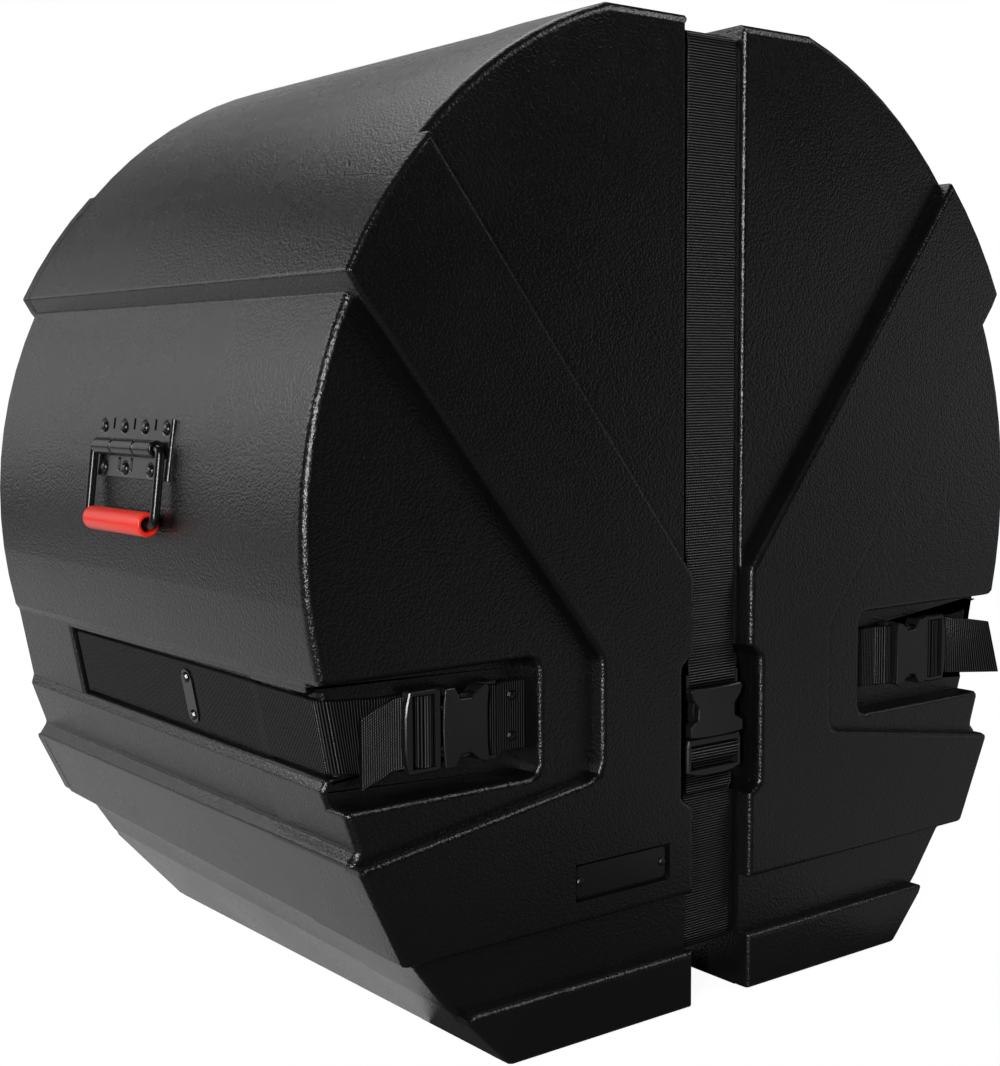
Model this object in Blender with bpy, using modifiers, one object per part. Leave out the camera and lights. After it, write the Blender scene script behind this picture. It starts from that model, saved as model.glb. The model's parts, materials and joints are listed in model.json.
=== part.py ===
# Bass drum case: two rotomoulded shells, three webbing straps with side release
# buckles and two drop handles. Metres, +Z up, front face towards -Y, origin on the
# floor below the middle of the case.
import bpy
import bmesh
from math import acos, asin, atan2, cos, degrees, hypot, pi, radians, sin
from mathutils import Matrix, Vector

# Case
HEIGHT = 0.710
DEPTH = 0.490
WALL = 0.0045
SEAM = 0.104                 # the lid's depth, measured from the front plane
SEAM_GAP = 0.0003
REAR_STEP = 0.0012           # the rear shell stands this far inside the lid's outline
AXIS_HEIGHT = 0.359          # the drum's axis; heights below it are shares of it
TOP_HALF_WIDTH = 0.0998      # the flat strip along the top
BAND_RADIUS = 0.3600
CHEEK_RADIUS = 0.3480
BAND_TOP_ANGLE = 43.9        # degrees above the axis
BAND_LOW_ANGLE = 27.2
CHEEK_TOP_ANGLE = 26.0
CHEEK_DROP = AXIS_HEIGHT * 0.2362            # from the axis to the cheek's lower end
CHEEK_LOW_ANGLE = -degrees(asin(CHEEK_DROP / CHEEK_RADIUS))
RELIEF = 0.011               # the raised bands stand this far proud of the face
REAR_RELIEF = 0.006
RIM_RADIUS = 0.0065
RELIEF_RADIUS = 0.0045
TONGUE_LENGTH = 0.012
TONGUE_WALL = 0.0035
TONGUE_ROOT = 0.016
TONGUE_CLEARANCE = 0.0005

# Corners of the lower side wall: half width and share of the axis height at the front
# plane, the shift of both towards the rear in metres, and the corner's radius
SIDE_CORNERS = {
    "shelf": (0.3330, 0.7479, 0.0016, 0.0015, 0.0020),
    "facet_foot": (0.3210, 0.5738, 0.0030, 0.0090, 0.0020),
    "bead": (0.3240, 0.5571, 0.0022, 0.0080, 0.0030),
    "ledge": (0.3110, 0.4540, 0.0030, 0.0106, 0.0030),
    "skirt_top": (0.3180, 0.4345, 0.0025, 0.0084, 0.0040),
    "skirt_foot": (0.2834, 0.2384, 0.0116, 0.0260, 0.0050),
    "neck_top": (0.2670, 0.2173, 0.0050, 0.0177, 0.0030),
    "neck_foot": (0.2400, 0.1226, 0.0170, 0.0290, 0.0030),
    "foot": (0.1980, 0.0000, -0.0090, 0.0000, 0.0060),
}

# Relief of the faces
BAND_MEET_HEIGHT = AXIS_HEIGHT * 0.8830      # the sloping bands reach the channel
BAND_CORNER = (0.1172, AXIS_HEIGHT * 0.7448)
SKIRT_CORNER = (0.1176, AXIS_HEIGHT * 0.5162)
CORNER_RADIUS = 0.012

# Centre channel, pockets and badge recess
CHANNEL_HALF_WIDTH = 0.0285
CHANNEL_FLOOR = 0.017        # behind the front plane, above the buckle
CHANNEL_FLOOR_LOW = 0.020    # below the buckle
CHANNEL_TOP = 0.011          # below the top of the case
CHANNEL_UNDER = 0.038        # above the floor
CHANNEL_REAR_END = 0.382
CHANNEL_BEND = 0.008
CENTRE_POCKET_HALF_WIDTH = 0.0397
CENTRE_POCKET_LOW = AXIS_HEIGHT * 0.4170
CENTRE_POCKET_HIGH = AXIS_HEIGHT * 0.7256
CENTRE_POCKET_FLOOR = 0.0240
CENTRE_POCKET_CHAMFER = 0.0085
SIDE_POCKET_INNER = 0.1640
SIDE_POCKET_LOW = AXIS_HEIGHT * 0.5306
SIDE_POCKET_HIGH = AXIS_HEIGHT * 0.7563
SIDE_POCKET_FLOOR = 0.0320
SIDE_CHANNEL_DEPTH = 0.007
SIDE_CHANNEL_LOW = 0.02      # share of the side facet where the channel starts
SIDE_CHANNEL_HIGH = 0.90
BADGE_LENGTH = 0.084
BADGE_HEIGHT = 0.022
BADGE_THICKNESS = 0.0016
BADGE_CENTRE = (-0.0975, AXIS_HEIGHT * 0.3184)
BADGE_SCREW = 0.0385
BADGE_RECESS_DEPTH = 0.0045
BADGE_MARGIN = 0.0022

# Webbing and buckles
STRAP_WIDTH = 0.049
LOOP_WIDTH = 0.0475          # where the webbing is squeezed between the buckle's rails
STRAP_THICKNESS = 0.0022
SIDE_STRAP_SHARE = 0.442     # share of the side facet where the webbing's middle lies
SIDE_STRAP_HEIGHT = AXIS_HEIGHT * 0.6448     # on the pocket floor
STRAP_REAR_END = 0.380
BRIDGE_START = 0.092         # the length of webbing that pays out as the lid comes off
BRIDGE_END = 0.116
ANCHOR_DEPTH = 0.205
ANCHOR_LENGTH = 0.040
ANCHOR_WIDTH = 0.014
ANCHOR_THICKNESS = 0.0015
RIVET_SPACING = 0.028
PLUG_HALF_WIDTH = 0.0275
SLOT_HALF_WIDTH = 0.0241
PLUG_LENGTH = 0.028
PLUG_THICKNESS = 0.0086
PLUG_BLOCK = 0.005
END_BAR = 0.0045
MIDDLE_BAR = (-0.0125, 0.0050)
BAR_RADIUS = 0.0020
SOCKET_HALF_WIDTH = 0.0265
SOCKET_LENGTH = 0.036
SOCKET_FRONT = 0.0114        # in front of the plug's back
SOCKET_BACK = 0.0026         # behind the plug's back
SOCKET_WALL = 0.0022
LUG_LENGTH = 0.0095
LUG_BAR = (0.0415, 0.0019)
LOOP_RADIUS = 0.0034
TONGUE = (0.026, 0.0055, 0.0024, 0.0062)
ARM_HINGE = (0.0026, 0.0135)
ARM_DEPTHS = (0.0012, 0.0074)
BUCKLE_MOUTHS = {"left": 0.2385, "right": 0.2560, "centre": AXIS_HEIGHT * 0.5474}
SOCKET_RIVETS = 0.1760
SOCKET_WEB_END = 0.1650

# Loose ends of the webbing, in the buckle's own axes: corners after the plug's end
# bar, each with the radius of its bend; the right one twists over its last stretch
TAIL_LEVEL = 0.0015
TAIL_ROUTES = {
    "left": (((-0.034, 0, TAIL_LEVEL), 0.02), ((-0.0615, -0.009, 0.0045), 0)),
    "right": (((-0.033, 0, TAIL_LEVEL), 0.02), ((-0.056, -0.002, 0.0110), 0.03),
              ((-0.077, -0.004, 0.0205), 0)),
    "centre": (((-0.040, 0, TAIL_LEVEL), 0),),
}
TAIL_TWIST_START = 0.034
TAIL_TWIST_LENGTH = 0.043
TAIL_TWIST = {"left": 0.0, "right": 0.34, "centre": 0.0}

# Handles
HANDLE_DEPTH = 0.2405
HANDLE_HEIGHT = AXIS_HEIGHT + 0.0525
PLATE_WIDTH = 0.113
PLATE_HEIGHT = 0.042
PLATE_THICKNESS = 0.0018
BARREL_RADIUS = 0.0062
BARREL_LENGTH = 0.094
BARREL_GAP = 0.0030
BAIL_WIRE_RADIUS = 0.0031
BAIL_HALF_SPAN = 0.0515
BAIL_DROP = 0.0515
BAIL_BEND = 0.005
GRIP_RADIUS = 0.0087
GRIP_LENGTH = 0.088
HANDLE_RIVETS = ((-0.048, 0.0145), (-0.016, 0.0145), (0.016, 0.0145), (0.048, 0.0145),
                 (-0.031, -0.0150), (0.008, -0.0150), (0.041, -0.0150))
HANDLE_SLOTS = (-0.032, 0.0, 0.032)
HANDLE_SLOT = (0.004, 0.008)
BACKING_HEIGHT = 0.036
BACKING_THICKNESS = 0.0015
BACKING_GAP = 0.0013

# Rivets and screws
RIVET_HEAD_RADIUS = 0.0040
RIVET_HEAD_HEIGHT = 0.0024
RIVET_SHANK_RADIUS = 0.0021
RIVET_TAIL_RADIUS = 0.0036
RIVET_TAIL_HEIGHT = 0.0016
SCREW_HEAD_RADIUS = 0.0032
SCREW_HEAD_HEIGHT = 0.0016
SCREW_SHANK_RADIUS = 0.0014
SCREW_LENGTH = 0.0120
HOLE_CLEARANCE = 0.0006
TOUCH = 0.0003               # gap between pieces that touch
RIVET_STEPS = 8

# Foam pads
PAD_THICKNESS = 0.018
PAD_RADIUS = AXIS_HEIGHT - 0.069

FRONT = -DEPTH / 2
CORNER_STEPS = 2
RIM_STEPS = 3
ARC_STEP = 4.2               # degrees between points on the outline's arcs


def start_scene():
    for item in list(bpy.data.objects):
        bpy.data.objects.remove(item)
    parts = bpy.data.collections.new("bass_drum_case")
    cutters = bpy.data.collections.new("bass_drum_case_cutters")
    bpy.context.scene.collection.children.link(parts)
    bpy.context.scene.collection.children.link(cutters)
    return parts, cutters


PARTS, CUTTERS = start_scene()


def finish(name, colour, roughness, metallic=0.0):
    material = bpy.data.materials.new(name)
    material.use_nodes = True
    shader = material.node_tree.nodes["Principled BSDF"]
    shader.inputs["Base Color"].default_value = (*colour, 1.0)
    shader.inputs["Roughness"].default_value = roughness
    shader.inputs["Metallic"].default_value = metallic
    material.diffuse_color = (*colour, 1.0)
    return material


# Basic solids, each returned as a bmesh in world coordinates

def box(low, high):
    bm = bmesh.new()
    bmesh.ops.create_cube(bm, size=1.0)
    low, high = Vector(low), Vector(high)
    bmesh.ops.scale(bm, vec=high - low, verts=bm.verts)
    bmesh.ops.translate(bm, vec=(low + high) / 2, verts=bm.verts)
    return bm


def loft(rings):
    """Closed solid through rings of equal point counts."""
    bm = bmesh.new()
    rows = [[bm.verts.new(point) for point in ring] for ring in rings]
    count = len(rows[0])
    for near, far in zip(rows, rows[1:]):
        for i in range(count):
            j = (i + 1) % count
            bm.faces.new((near[i], near[j], far[j], far[i]))
    bm.faces.new(list(reversed(rows[0])))
    bm.faces.new(rows[-1])
    bmesh.ops.recalc_face_normals(bm, faces=bm.faces)
    return bm


def evaluated_mesh(item):
    graph = bpy.context.evaluated_depsgraph_get()
    return bpy.data.meshes.new_from_object(item.evaluated_get(graph))


def mesh_from(item):
    """The item's evaluated mesh as a welded bmesh; the item is removed."""
    bpy.context.view_layer.update()
    mesh = evaluated_mesh(item)
    bm = bmesh.new()
    bm.from_mesh(mesh)
    bm.transform(item.matrix_world)
    bpy.data.objects.remove(item)
    bpy.data.meshes.remove(mesh)
    bmesh.ops.remove_doubles(bm, verts=bm.verts, dist=0.00001)
    bmesh.ops.recalc_face_normals(bm, faces=bm.faces)
    return bm


def cut_out(points, thickness, matrix):
    """A flat outline of the given thickness; the outline's plane is the matrix's XY."""
    curve = bpy.data.curves.new("outline", "CURVE")
    curve.dimensions = "2D"
    curve.fill_mode = "BOTH"
    curve.extrude = thickness / 2
    spline = curve.splines.new("POLY")
    spline.points.add(len(points) - 1)
    for knot, (x, y) in zip(spline.points, points):
        knot.co = (x, y, 0.0, 1.0)
    spline.use_cyclic_u = True
    item = bpy.data.objects.new("outline", curve)
    CUTTERS.objects.link(item)
    item.matrix_world = matrix
    return mesh_from(item)


def rod(points, radius, sides=3, cyclic=False):
    curve = bpy.data.curves.new("rod", "CURVE")
    curve.dimensions = "3D"
    curve.bevel_depth = radius
    curve.bevel_resolution = sides
    curve.use_fill_caps = True
    spline = curve.splines.new("POLY")
    spline.points.add(len(points) - 1)
    for knot, point in zip(spline.points, points):
        knot.co = (*point, 1.0)
    spline.use_cyclic_u = cyclic
    item = bpy.data.objects.new("rod", curve)
    CUTTERS.objects.link(item)
    return mesh_from(item)


def turned(profile, steps, matrix):
    """A profile of (radius, height), listed top to bottom, turned about the matrix's Z."""
    mesh = bpy.data.meshes.new("profile")
    points = [(radius, 0.0, height) for radius, height in profile]
    edges = [(i, i + 1) for i in range(len(points) - 1)]
    mesh.from_pydata(points, edges, [])
    item = bpy.data.objects.new("profile", mesh)
    CUTTERS.objects.link(item)
    screw = item.modifiers.new("turn", "SCREW")
    screw.steps = screw.render_steps = steps
    screw.use_merge_vertices = True
    screw.merge_threshold = 0.00001
    item.matrix_world = matrix
    return mesh_from(item)


def merged(solids):
    """Several solids in one bmesh, each a body of its own."""
    total = bmesh.new()
    for solid in solids:
        mesh = bpy.data.meshes.new("merge")
        solid.to_mesh(mesh)
        solid.free()
        total.from_mesh(mesh)
        bpy.data.meshes.remove(mesh)
    return total


def temporary(bm):
    mesh = bpy.data.meshes.new("solid")
    bm.to_mesh(mesh)
    bm.free()
    item = bpy.data.objects.new("solid", mesh)
    CUTTERS.objects.link(item)
    return item


def combined(base, tools, operation):
    """The base after one Boolean with each of the tools in turn."""
    for tool in tools:
        target, other = temporary(base), temporary(tool)
        step = target.modifiers.new("combine", "BOOLEAN")
        step.operation = operation
        step.solver = "EXACT"
        step.object = other
        base = mesh_from(target)
        bpy.data.objects.remove(other)
    return base


def rounded(points, steps=3):
    """A path of (point, bend radius) with an arc at each bend."""
    path = [Vector(points[0][0])]
    for before, (corner, radius), after in zip(points, points[1:], points[2:]):
        corner = Vector(corner)
        back = (Vector(before[0]) - corner).normalized()
        ahead = (Vector(after[0]) - corner).normalized()
        half = acos(max(-1.0, min(1.0, back.dot(ahead)))) / 2
        if radius <= 0 or half > pi / 2 - 0.01:
            path.append(corner)
            continue
        reach = radius / (sin(half) / cos(half))
        middle = corner + (back + ahead).normalized() * (radius / sin(half))
        start = corner + back * reach - middle
        end = corner + ahead * reach - middle
        sweep = start.angle(end)
        for k in range(steps + 1):
            share = k / steps
            arm = start * sin((1 - share) * sweep) + end * sin(share * sweep)
            path.append(middle + arm / sin(sweep))
    path.append(Vector(points[-1][0]))
    return path


def webbing(path, across, width=STRAP_WIDTH):
    """Flat webbing along a path; across gives its width direction at a point."""
    rings = []
    for i, point in enumerate(path):
        before = path[max(i - 1, 0)]
        after = path[min(i + 1, len(path) - 1)]
        tangent = (after - before).normalized()
        side = across(point).normalized()
        normal = side.cross(tangent).normalized()
        a, b = side * width / 2, normal * STRAP_THICKNESS / 2
        rings.append([point - a - b, point + a - b, point + a + b, point - a + b])
    return loft(rings)


# The pieces and the bodies that carry them

BODIES = {}


def body(name, point, parent=None):
    """An empty on the joint's axis; everything that moves with it is its child."""
    empty = bpy.data.objects.new(name, None)
    empty.empty_display_size = 0.02
    PARTS.objects.link(empty)
    point = Vector(point)
    if parent:
        empty.parent = BODIES[parent][0]
        empty.location = point - BODIES[parent][1]
    else:
        empty.location = point
    BODIES[name] = (empty, point)


def piece(name, bm, material, carrier=None):
    """A named part in world coordinates, handed to the body that carries it."""
    if carrier:
        bmesh.ops.translate(bm, vec=-BODIES[carrier][1], verts=bm.verts)
    bmesh.ops.dissolve_degenerate(bm, dist=0.000002, edges=bm.edges)
    mesh = bpy.data.meshes.new(name)
    bm.to_mesh(mesh)
    bm.free()
    mesh.materials.append(material)
    mesh.shade_smooth()
    mesh.set_sharp_from_angle(angle=radians(35))
    item = bpy.data.objects.new(name, mesh)
    PARTS.objects.link(item)
    if carrier:
        item.parent = BODIES[carrier][0]
    return item


# The outline of the case, seen from the front

def corner(name, depth):
    """Half width, height and radius of a corner of the side wall at a depth."""
    x, level, shift_x, shift_z, radius = SIDE_CORNERS[name]
    share = depth / DEPTH
    return x + shift_x * share, AXIS_HEIGHT * level + shift_z * share, radius


def arc(radius, start, end, centre=AXIS_HEIGHT):
    """Points on a circle at a centre height; angles in degrees above it."""
    steps = max(1, round(abs(end - start) / ARC_STEP))
    angles = [radians(start + (end - start) * k / steps) for k in range(steps + 1)]
    return [(radius * cos(a), centre + radius * sin(a)) for a in angles]


def crown_arc():
    """From the flat top down to the band's upper end, without that end itself."""
    x, z = arc(BAND_RADIUS, BAND_TOP_ANGLE, BAND_TOP_ANGLE)[0]
    centre = (x ** 2 + z ** 2 - TOP_HALF_WIDTH ** 2 - HEIGHT ** 2) / (2 * (z - HEIGHT))
    low = degrees(atan2(z - centre, x))
    high = degrees(atan2(HEIGHT - centre, TOP_HALF_WIDTH))
    return arc(hypot(x, z - centre), high, low, centre)[:-1]


def half_outline(depth, drop):
    """Right half of the outline from the top down: x, z and corner radius."""
    points = [(x, z, 0.0) for x, z in crown_arc()]
    band = arc(BAND_RADIUS, BAND_TOP_ANGLE, BAND_LOW_ANGLE)
    points += [(x, z, 0.0) for x, z in band[:-1]] + [(*band[-1], 0.004)]
    cheek = arc(CHEEK_RADIUS, CHEEK_TOP_ANGLE, CHEEK_LOW_ANGLE)
    points += [(*cheek[0], 0.002)] + [(x, z, 0.0) for x, z in cheek[1:-1]]
    points += [(*cheek[-1], 0.004)]
    points += [corner(name, depth) for name in SIDE_CORNERS]
    x, z, radius = points[-1]
    return points[:-1] + [(x, z - drop, radius)]


def inset_outline(points, inset):
    """A closed outline of (x, z, radius) moved inwards, with its corners rounded."""
    count = len(points)
    area = sum(points[i][0] * points[(i + 1) % count][1]
               - points[(i + 1) % count][0] * points[i][1] for i in range(count))
    inwards = 1.0 if area > 0 else -1.0
    flat = [Vector(point[:2]) for point in points]
    result = []
    for i in range(count):
        before, here, after = flat[i - 1], flat[i], flat[(i + 1) % count]
        a, b = (here - before).normalized(), (after - here).normalized()
        normal_a = Vector((-a.y, a.x)) * inwards
        normal_b = Vector((-b.y, b.x)) * inwards
        mean = (normal_a + normal_b).normalized()
        moved = here + mean * (inset / max(0.3, mean.dot(normal_a)))
        radius = points[i][2]
        if radius <= 0:
            result.append(moved)
            continue
        convex = (a.x * b.y - a.y * b.x) * inwards > 0
        radius = max(0.0006, radius - inset) if convex else radius + inset
        turn = a.angle(b)
        reach = min(radius * sin(turn / 2) / cos(turn / 2),
                    0.45 * (here - before).length, 0.45 * (after - here).length)
        for k in range(CORNER_STEPS + 1):
            share = k / CORNER_STEPS
            start, end = moved - a * reach, moved + b * reach
            result.append(start * (1 - share) ** 2 + moved * 2 * share * (1 - share)
                          + end * share ** 2)
    return result


def outline(depth, inset, drop):
    """Outline moved inwards by inset; drop keeps the foot of a stepped shell down."""
    right = half_outline(depth, drop)
    left = [(-x, z, radius) for x, z, radius in reversed(right)]
    return inset_outline(right + left, inset)


def ring(depth, inset, drop=0.0):
    return [(point.x, FRONT + depth, point.y) for point in outline(depth, inset, drop)]


def rim_steps(inset):
    """Steps of a rounded edge: the inside of a wall gets one."""
    return RIM_STEPS if inset < WALL else 1


def rim_rings(face, inset, radius, away, drop=0.0):
    """Rings that round the outline into a face; away is the direction to the seam."""
    rings, steps = [], rim_steps(inset)
    for k in range(steps + 1):
        angle = radians(90) * k / steps
        depth = face + away * radius * (1 - cos(angle))
        rings.append(ring(depth, inset + radius * (1 - sin(angle)), drop))
    return rings


def relief_rings(points, face, inset, away, length):
    """Rings of a raised panel with a rounded edge; points hold x, z and radius."""
    rings, steps = [], rim_steps(inset)
    for k in range(steps + 1):
        angle = radians(90) * k / steps
        depth = face + away * RELIEF_RADIUS * (1 - cos(angle))
        edge = inset_outline(points, inset + RELIEF_RADIUS * (1 - sin(angle)))
        rings.append([(p.x, FRONT + depth, p.y) for p in edge])
    edge = inset_outline(points, inset)
    rings.append([(p.x, FRONT + face + away * length, p.y) for p in edge])
    return rings


def band_panel(depth, side, pocketed):
    """Sloping band and skirt panel of one side; pocketed makes room for the buckle."""
    band = arc(BAND_RADIUS + 0.0002, BAND_TOP_ANGLE + 0.4, BAND_LOW_ANGLE)
    cheek = arc(CHEEK_RADIUS + 0.0002, CHEEK_TOP_ANGLE, CHEEK_LOW_ANGLE)
    inner, wide = CHANNEL_HALF_WIDTH + 0.0002, CENTRE_POCKET_HALF_WIDTH + 0.0002
    skirt_top, skirt_foot = corner("skirt_top", depth), corner("skirt_foot", depth)
    step = wide - inner
    points = [(inner, BAND_MEET_HEIGHT, 0.010)]
    points += [(x, z, 0.0) for x, z in band[:-1]] + [(*band[-1], 0.004), (*cheek[0], 0.0)]
    points += [(*BAND_CORNER, CORNER_RADIUS), (*SKIRT_CORNER, CORNER_RADIUS)]
    points += [(skirt_top[0] + 0.0002, skirt_top[1], skirt_top[2])]
    points += [(skirt_foot[0] + 0.0002, skirt_foot[1], skirt_foot[2])]
    points += [(inner, skirt_foot[1], 0.002)]
    if pocketed:
        points += [(inner, CENTRE_POCKET_LOW - 0.0002, 0.004),
                   (wide, CENTRE_POCKET_LOW + 0.64 * step, 0.004),
                   (wide, CENTRE_POCKET_HIGH - 0.77 * step, 0.004),
                   (inner, CENTRE_POCKET_HIGH + 0.0002, 0.004)]
    return [(side * x, z, radius) for x, z, radius in points]


def foot_panel(depth, side, drop):
    inner, low = CHANNEL_HALF_WIDTH + 0.0002, 0.0003 - drop
    foot, neck = corner("foot", depth), corner("neck_foot", depth)
    points = [(inner, low, 0.002), (foot[0] + 0.0002, low, foot[2]),
              (neck[0] - 0.0012, neck[1] - 0.0015, 0.005), (inner, neck[1] - 0.0015, 0.002)]
    return [(side * x, z, radius) for x, z, radius in points]


# Cutters; grow widens and deepens them, so that the wall follows them inside

def facet_point(depth, share, sunk):
    """A point on the side facet at a share of its height, sunk into the wall."""
    low, high = Vector(corner("facet_foot", depth)[:2]), Vector(corner("shelf", depth)[:2])
    along = (high - low).normalized()
    inwards = Vector((-along.y, along.x))
    point = low.lerp(high, share) + inwards * sunk
    return point


def facet_height(depth):
    low, high = Vector(corner("facet_foot", depth)[:2]), Vector(corner("shelf", depth)[:2])
    return (high - low).length


def side_channel(side, start, end, grow):
    rings = []
    for depth in (start, end):
        spare = grow / facet_height(depth)
        low, high = SIDE_CHANNEL_LOW - spare, SIDE_CHANNEL_HIGH + spare
        sunk = SIDE_CHANNEL_DEPTH + grow
        corners = [facet_point(depth, low, sunk), facet_point(depth, high, sunk),
                   facet_point(depth, high, -0.03), facet_point(depth, low, -0.03)]
        rings.append([(side * p.x, FRONT + depth, p.y) for p in corners])
    return loft(rings)


def side_bend(side, grow):
    """Rounds the corner where the side channel turns on to the pocket floor."""
    depth = SIDE_POCKET_FLOOR + grow
    radius = max(0.002, CHANNEL_BEND - grow)
    spare = (grow + 0.0002) / facet_height(depth)
    rings = []
    for share in (SIDE_CHANNEL_LOW - spare, SIDE_CHANNEL_HIGH + spare):
        p = facet_point(depth, share, SIDE_CHANNEL_DEPTH + grow)
        shape = [(p.x + 0.004, depth - 0.004), (p.x + 0.004, depth + radius)]
        for k in range(4):
            angle = radians(90) * k / 3
            shape.append((p.x - radius * (1 - cos(angle)), depth + radius * (1 - sin(angle))))
        shape.append((p.x - radius, depth - 0.004))
        rings.append([(side * x, FRONT + y, p.y) for x, y in shape])
    return loft(rings)


def side_pocket(side, grow):
    bm = box((SIDE_POCKET_INNER - grow, FRONT - 0.01, SIDE_POCKET_LOW - grow),
             (0.4, FRONT + SIDE_POCKET_FLOOR + grow, SIDE_POCKET_HIGH + grow))
    edges = [edge for edge in bm.edges
             if all(v.co.x < SIDE_POCKET_INNER + 0.001 for v in edge.verts)
             and abs(edge.verts[0].co.y - edge.verts[1].co.y) > 0.02]
    bmesh.ops.bevel(bm, geom=edges, offset=0.008 + grow, segments=CORNER_STEPS,
                    affect="EDGES", profile=0.5, material=-1)
    if side < 0:
        bmesh.ops.scale(bm, vec=(-1, 1, 1), verts=bm.verts)
        bmesh.ops.reverse_faces(bm, faces=bm.faces)
    return bm


def centre_channel(rear, grow):
    """The strap's way over the top, down the face and under the case."""
    top, under = HEIGHT - CHANNEL_TOP - grow, CHANNEL_UNDER + grow
    floor, bend = CHANNEL_FLOOR + grow, max(0.002, CHANNEL_BEND - grow)
    low_floor, step = CHANNEL_FLOOR_LOW + grow, CENTRE_POCKET_LOW + 0.01
    over, past = HEIGHT + 0.02, -0.02
    if rear:
        blocks = [box((-CHANNEL_HALF_WIDTH - grow, FRONT, top),
                      (CHANNEL_HALF_WIDTH + grow, FRONT + CHANNEL_REAR_END + grow, over)),
                  box((-CHANNEL_HALF_WIDTH - grow, FRONT, past),
                      (CHANNEL_HALF_WIDTH + grow, FRONT + DEPTH + 0.02, under))]
        return blocks
    end = SEAM + 0.02
    shape = [(past, past), (end, past), (end, under)]
    for k in range(4):
        angle = radians(90) * k / 3
        shape.append((low_floor + bend * (1 - sin(angle)), under + bend * (1 - cos(angle))))
    shape += [(low_floor, step), (floor, step)]
    for k in range(4):
        angle = radians(90) * k / 3
        shape.append((floor + bend * (1 - cos(angle)), top - bend * (1 - sin(angle))))
    shape += [(end, top), (end, over), (past, over)]
    place = Matrix(((0, 0, 1, 0), (1, 0, 0, FRONT), (0, 1, 0, 0), (0, 0, 0, 1)))
    return [cut_out(shape, 2 * (CHANNEL_HALF_WIDTH + grow), place)]


def centre_pocket(grow):
    wide, cut = CENTRE_POCKET_HALF_WIDTH + grow, CENTRE_POCKET_CHAMFER
    low, high = CENTRE_POCKET_LOW - grow, CENTRE_POCKET_HIGH + grow
    rings = []
    for depth in (-0.01, CENTRE_POCKET_FLOOR + grow):
        shape = [(wide, low + cut), (wide, high - cut), (wide - cut, high),
                 (cut - wide, high), (-wide, high - cut), (-wide, low + cut),
                 (cut - wide, low), (wide - cut, low)]
        rings.append([(x, FRONT + depth, z) for x, z in shape])
    return loft(rings)


def badge_recess(grow):
    x, z = BADGE_CENTRE
    half, tall = BADGE_LENGTH / 2 + BADGE_MARGIN + grow, BADGE_HEIGHT / 2 + BADGE_MARGIN + grow
    return box((x - half, FRONT - 0.01, z - tall),
               (x + half, FRONT + BADGE_RECESS_DEPTH + grow, z + tall))


# The shells

def lid_form(inset):
    """The front shell as a solid, with every surface moved inwards by inset."""
    end = SEAM - SEAM_GAP if inset == 0 else SEAM + 0.01
    rings = rim_rings(RELIEF + inset, inset, RIM_RADIUS, 1) + [ring(end, inset)]
    form = loft(rings)
    depth = RELIEF + RIM_RADIUS + 0.003
    panels = []
    for side in (-1, 1):
        panels += [loft(relief_rings(band_panel(0.0, side, True), inset, inset, 1, depth)),
                   loft(relief_rings(foot_panel(0.0, side, 0.0), inset, inset, 1, depth))]
    form = combined(form, panels, "UNION")
    cutters = centre_channel(False, inset) + [centre_pocket(inset), badge_recess(inset)]
    for side in (-1, 1):
        cutters += [side_channel(side, -0.01, SEAM + 0.02, inset), side_pocket(side, inset),
                    side_bend(side, inset)]
    return combined(form, cutters, "DIFFERENCE")


def rear_cutters(start, grow):
    end = CHANNEL_REAR_END + grow
    channels = [side_channel(side, start - 0.01, end, grow) for side in (-1, 1)]
    return centre_channel(True, grow) + channels


def tongue_form(start, end, inset):
    """The case's section between two depths, with its channels."""
    form = loft([ring(start, inset), ring(end, inset)])
    return combined(form, rear_cutters(start, inset), "DIFFERENCE")


def rear_form(inset, start):
    """The rear shell as a solid; its relief is the lid's, but shallower."""
    outer = DEPTH + REAR_STEP - inset
    rings = [ring(start, inset, REAR_STEP)]
    rings += reversed(rim_rings(outer - REAR_RELIEF, inset, RIM_RADIUS, -1, REAR_STEP))
    form = loft(rings)
    depth = REAR_RELIEF + RIM_RADIUS + 0.003
    panels = []
    for side in (-1, 1):
        for panel in (band_panel(DEPTH, side, False), foot_panel(DEPTH, side, REAR_STEP)):
            panels.append(loft(relief_rings(panel, outer, inset, -1, depth)))
    form = combined(form, panels, "UNION")
    return combined(form, rear_cutters(start, inset), "DIFFERENCE")


def front_shell():
    return combined(lid_form(0.0), [lid_form(WALL)], "DIFFERENCE")


def rear_shell():
    shell = combined(rear_form(REAR_STEP, SEAM), [rear_form(REAR_STEP + WALL, SEAM - 0.01)],
                     "DIFFERENCE")
    outer, inner = WALL + TONGUE_CLEARANCE, WALL + TONGUE_CLEARANCE + TONGUE_WALL
    start, end = SEAM - TONGUE_LENGTH, SEAM + TONGUE_ROOT
    tongue = combined(tongue_form(start, end, outer),
                      [tongue_form(start - 0.01, end + 0.01, inner)], "DIFFERENCE")
    return combined(shell, [tongue], "UNION")


def drilled(bm, holes):
    """The solid with a round hole at each (point, direction, radius, reach)."""
    pins = [rod([point - aim * reach, point + aim * reach], radius, 1)
            for point, aim, radius, reach in holes]
    return combined(bm, [merged(pins)], "DIFFERENCE")


def frame(origin, u, v, w):
    """Matrix that places local coordinates along three world directions."""
    matrix = Matrix((u, v, w)).transposed().to_4x4()
    matrix.translation = origin
    return matrix


def placed(bm, matrix):
    bm.transform(matrix)
    if matrix.determinant() < 0:
        bmesh.ops.reverse_faces(bm, faces=bm.faces)
    return bm


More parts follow.
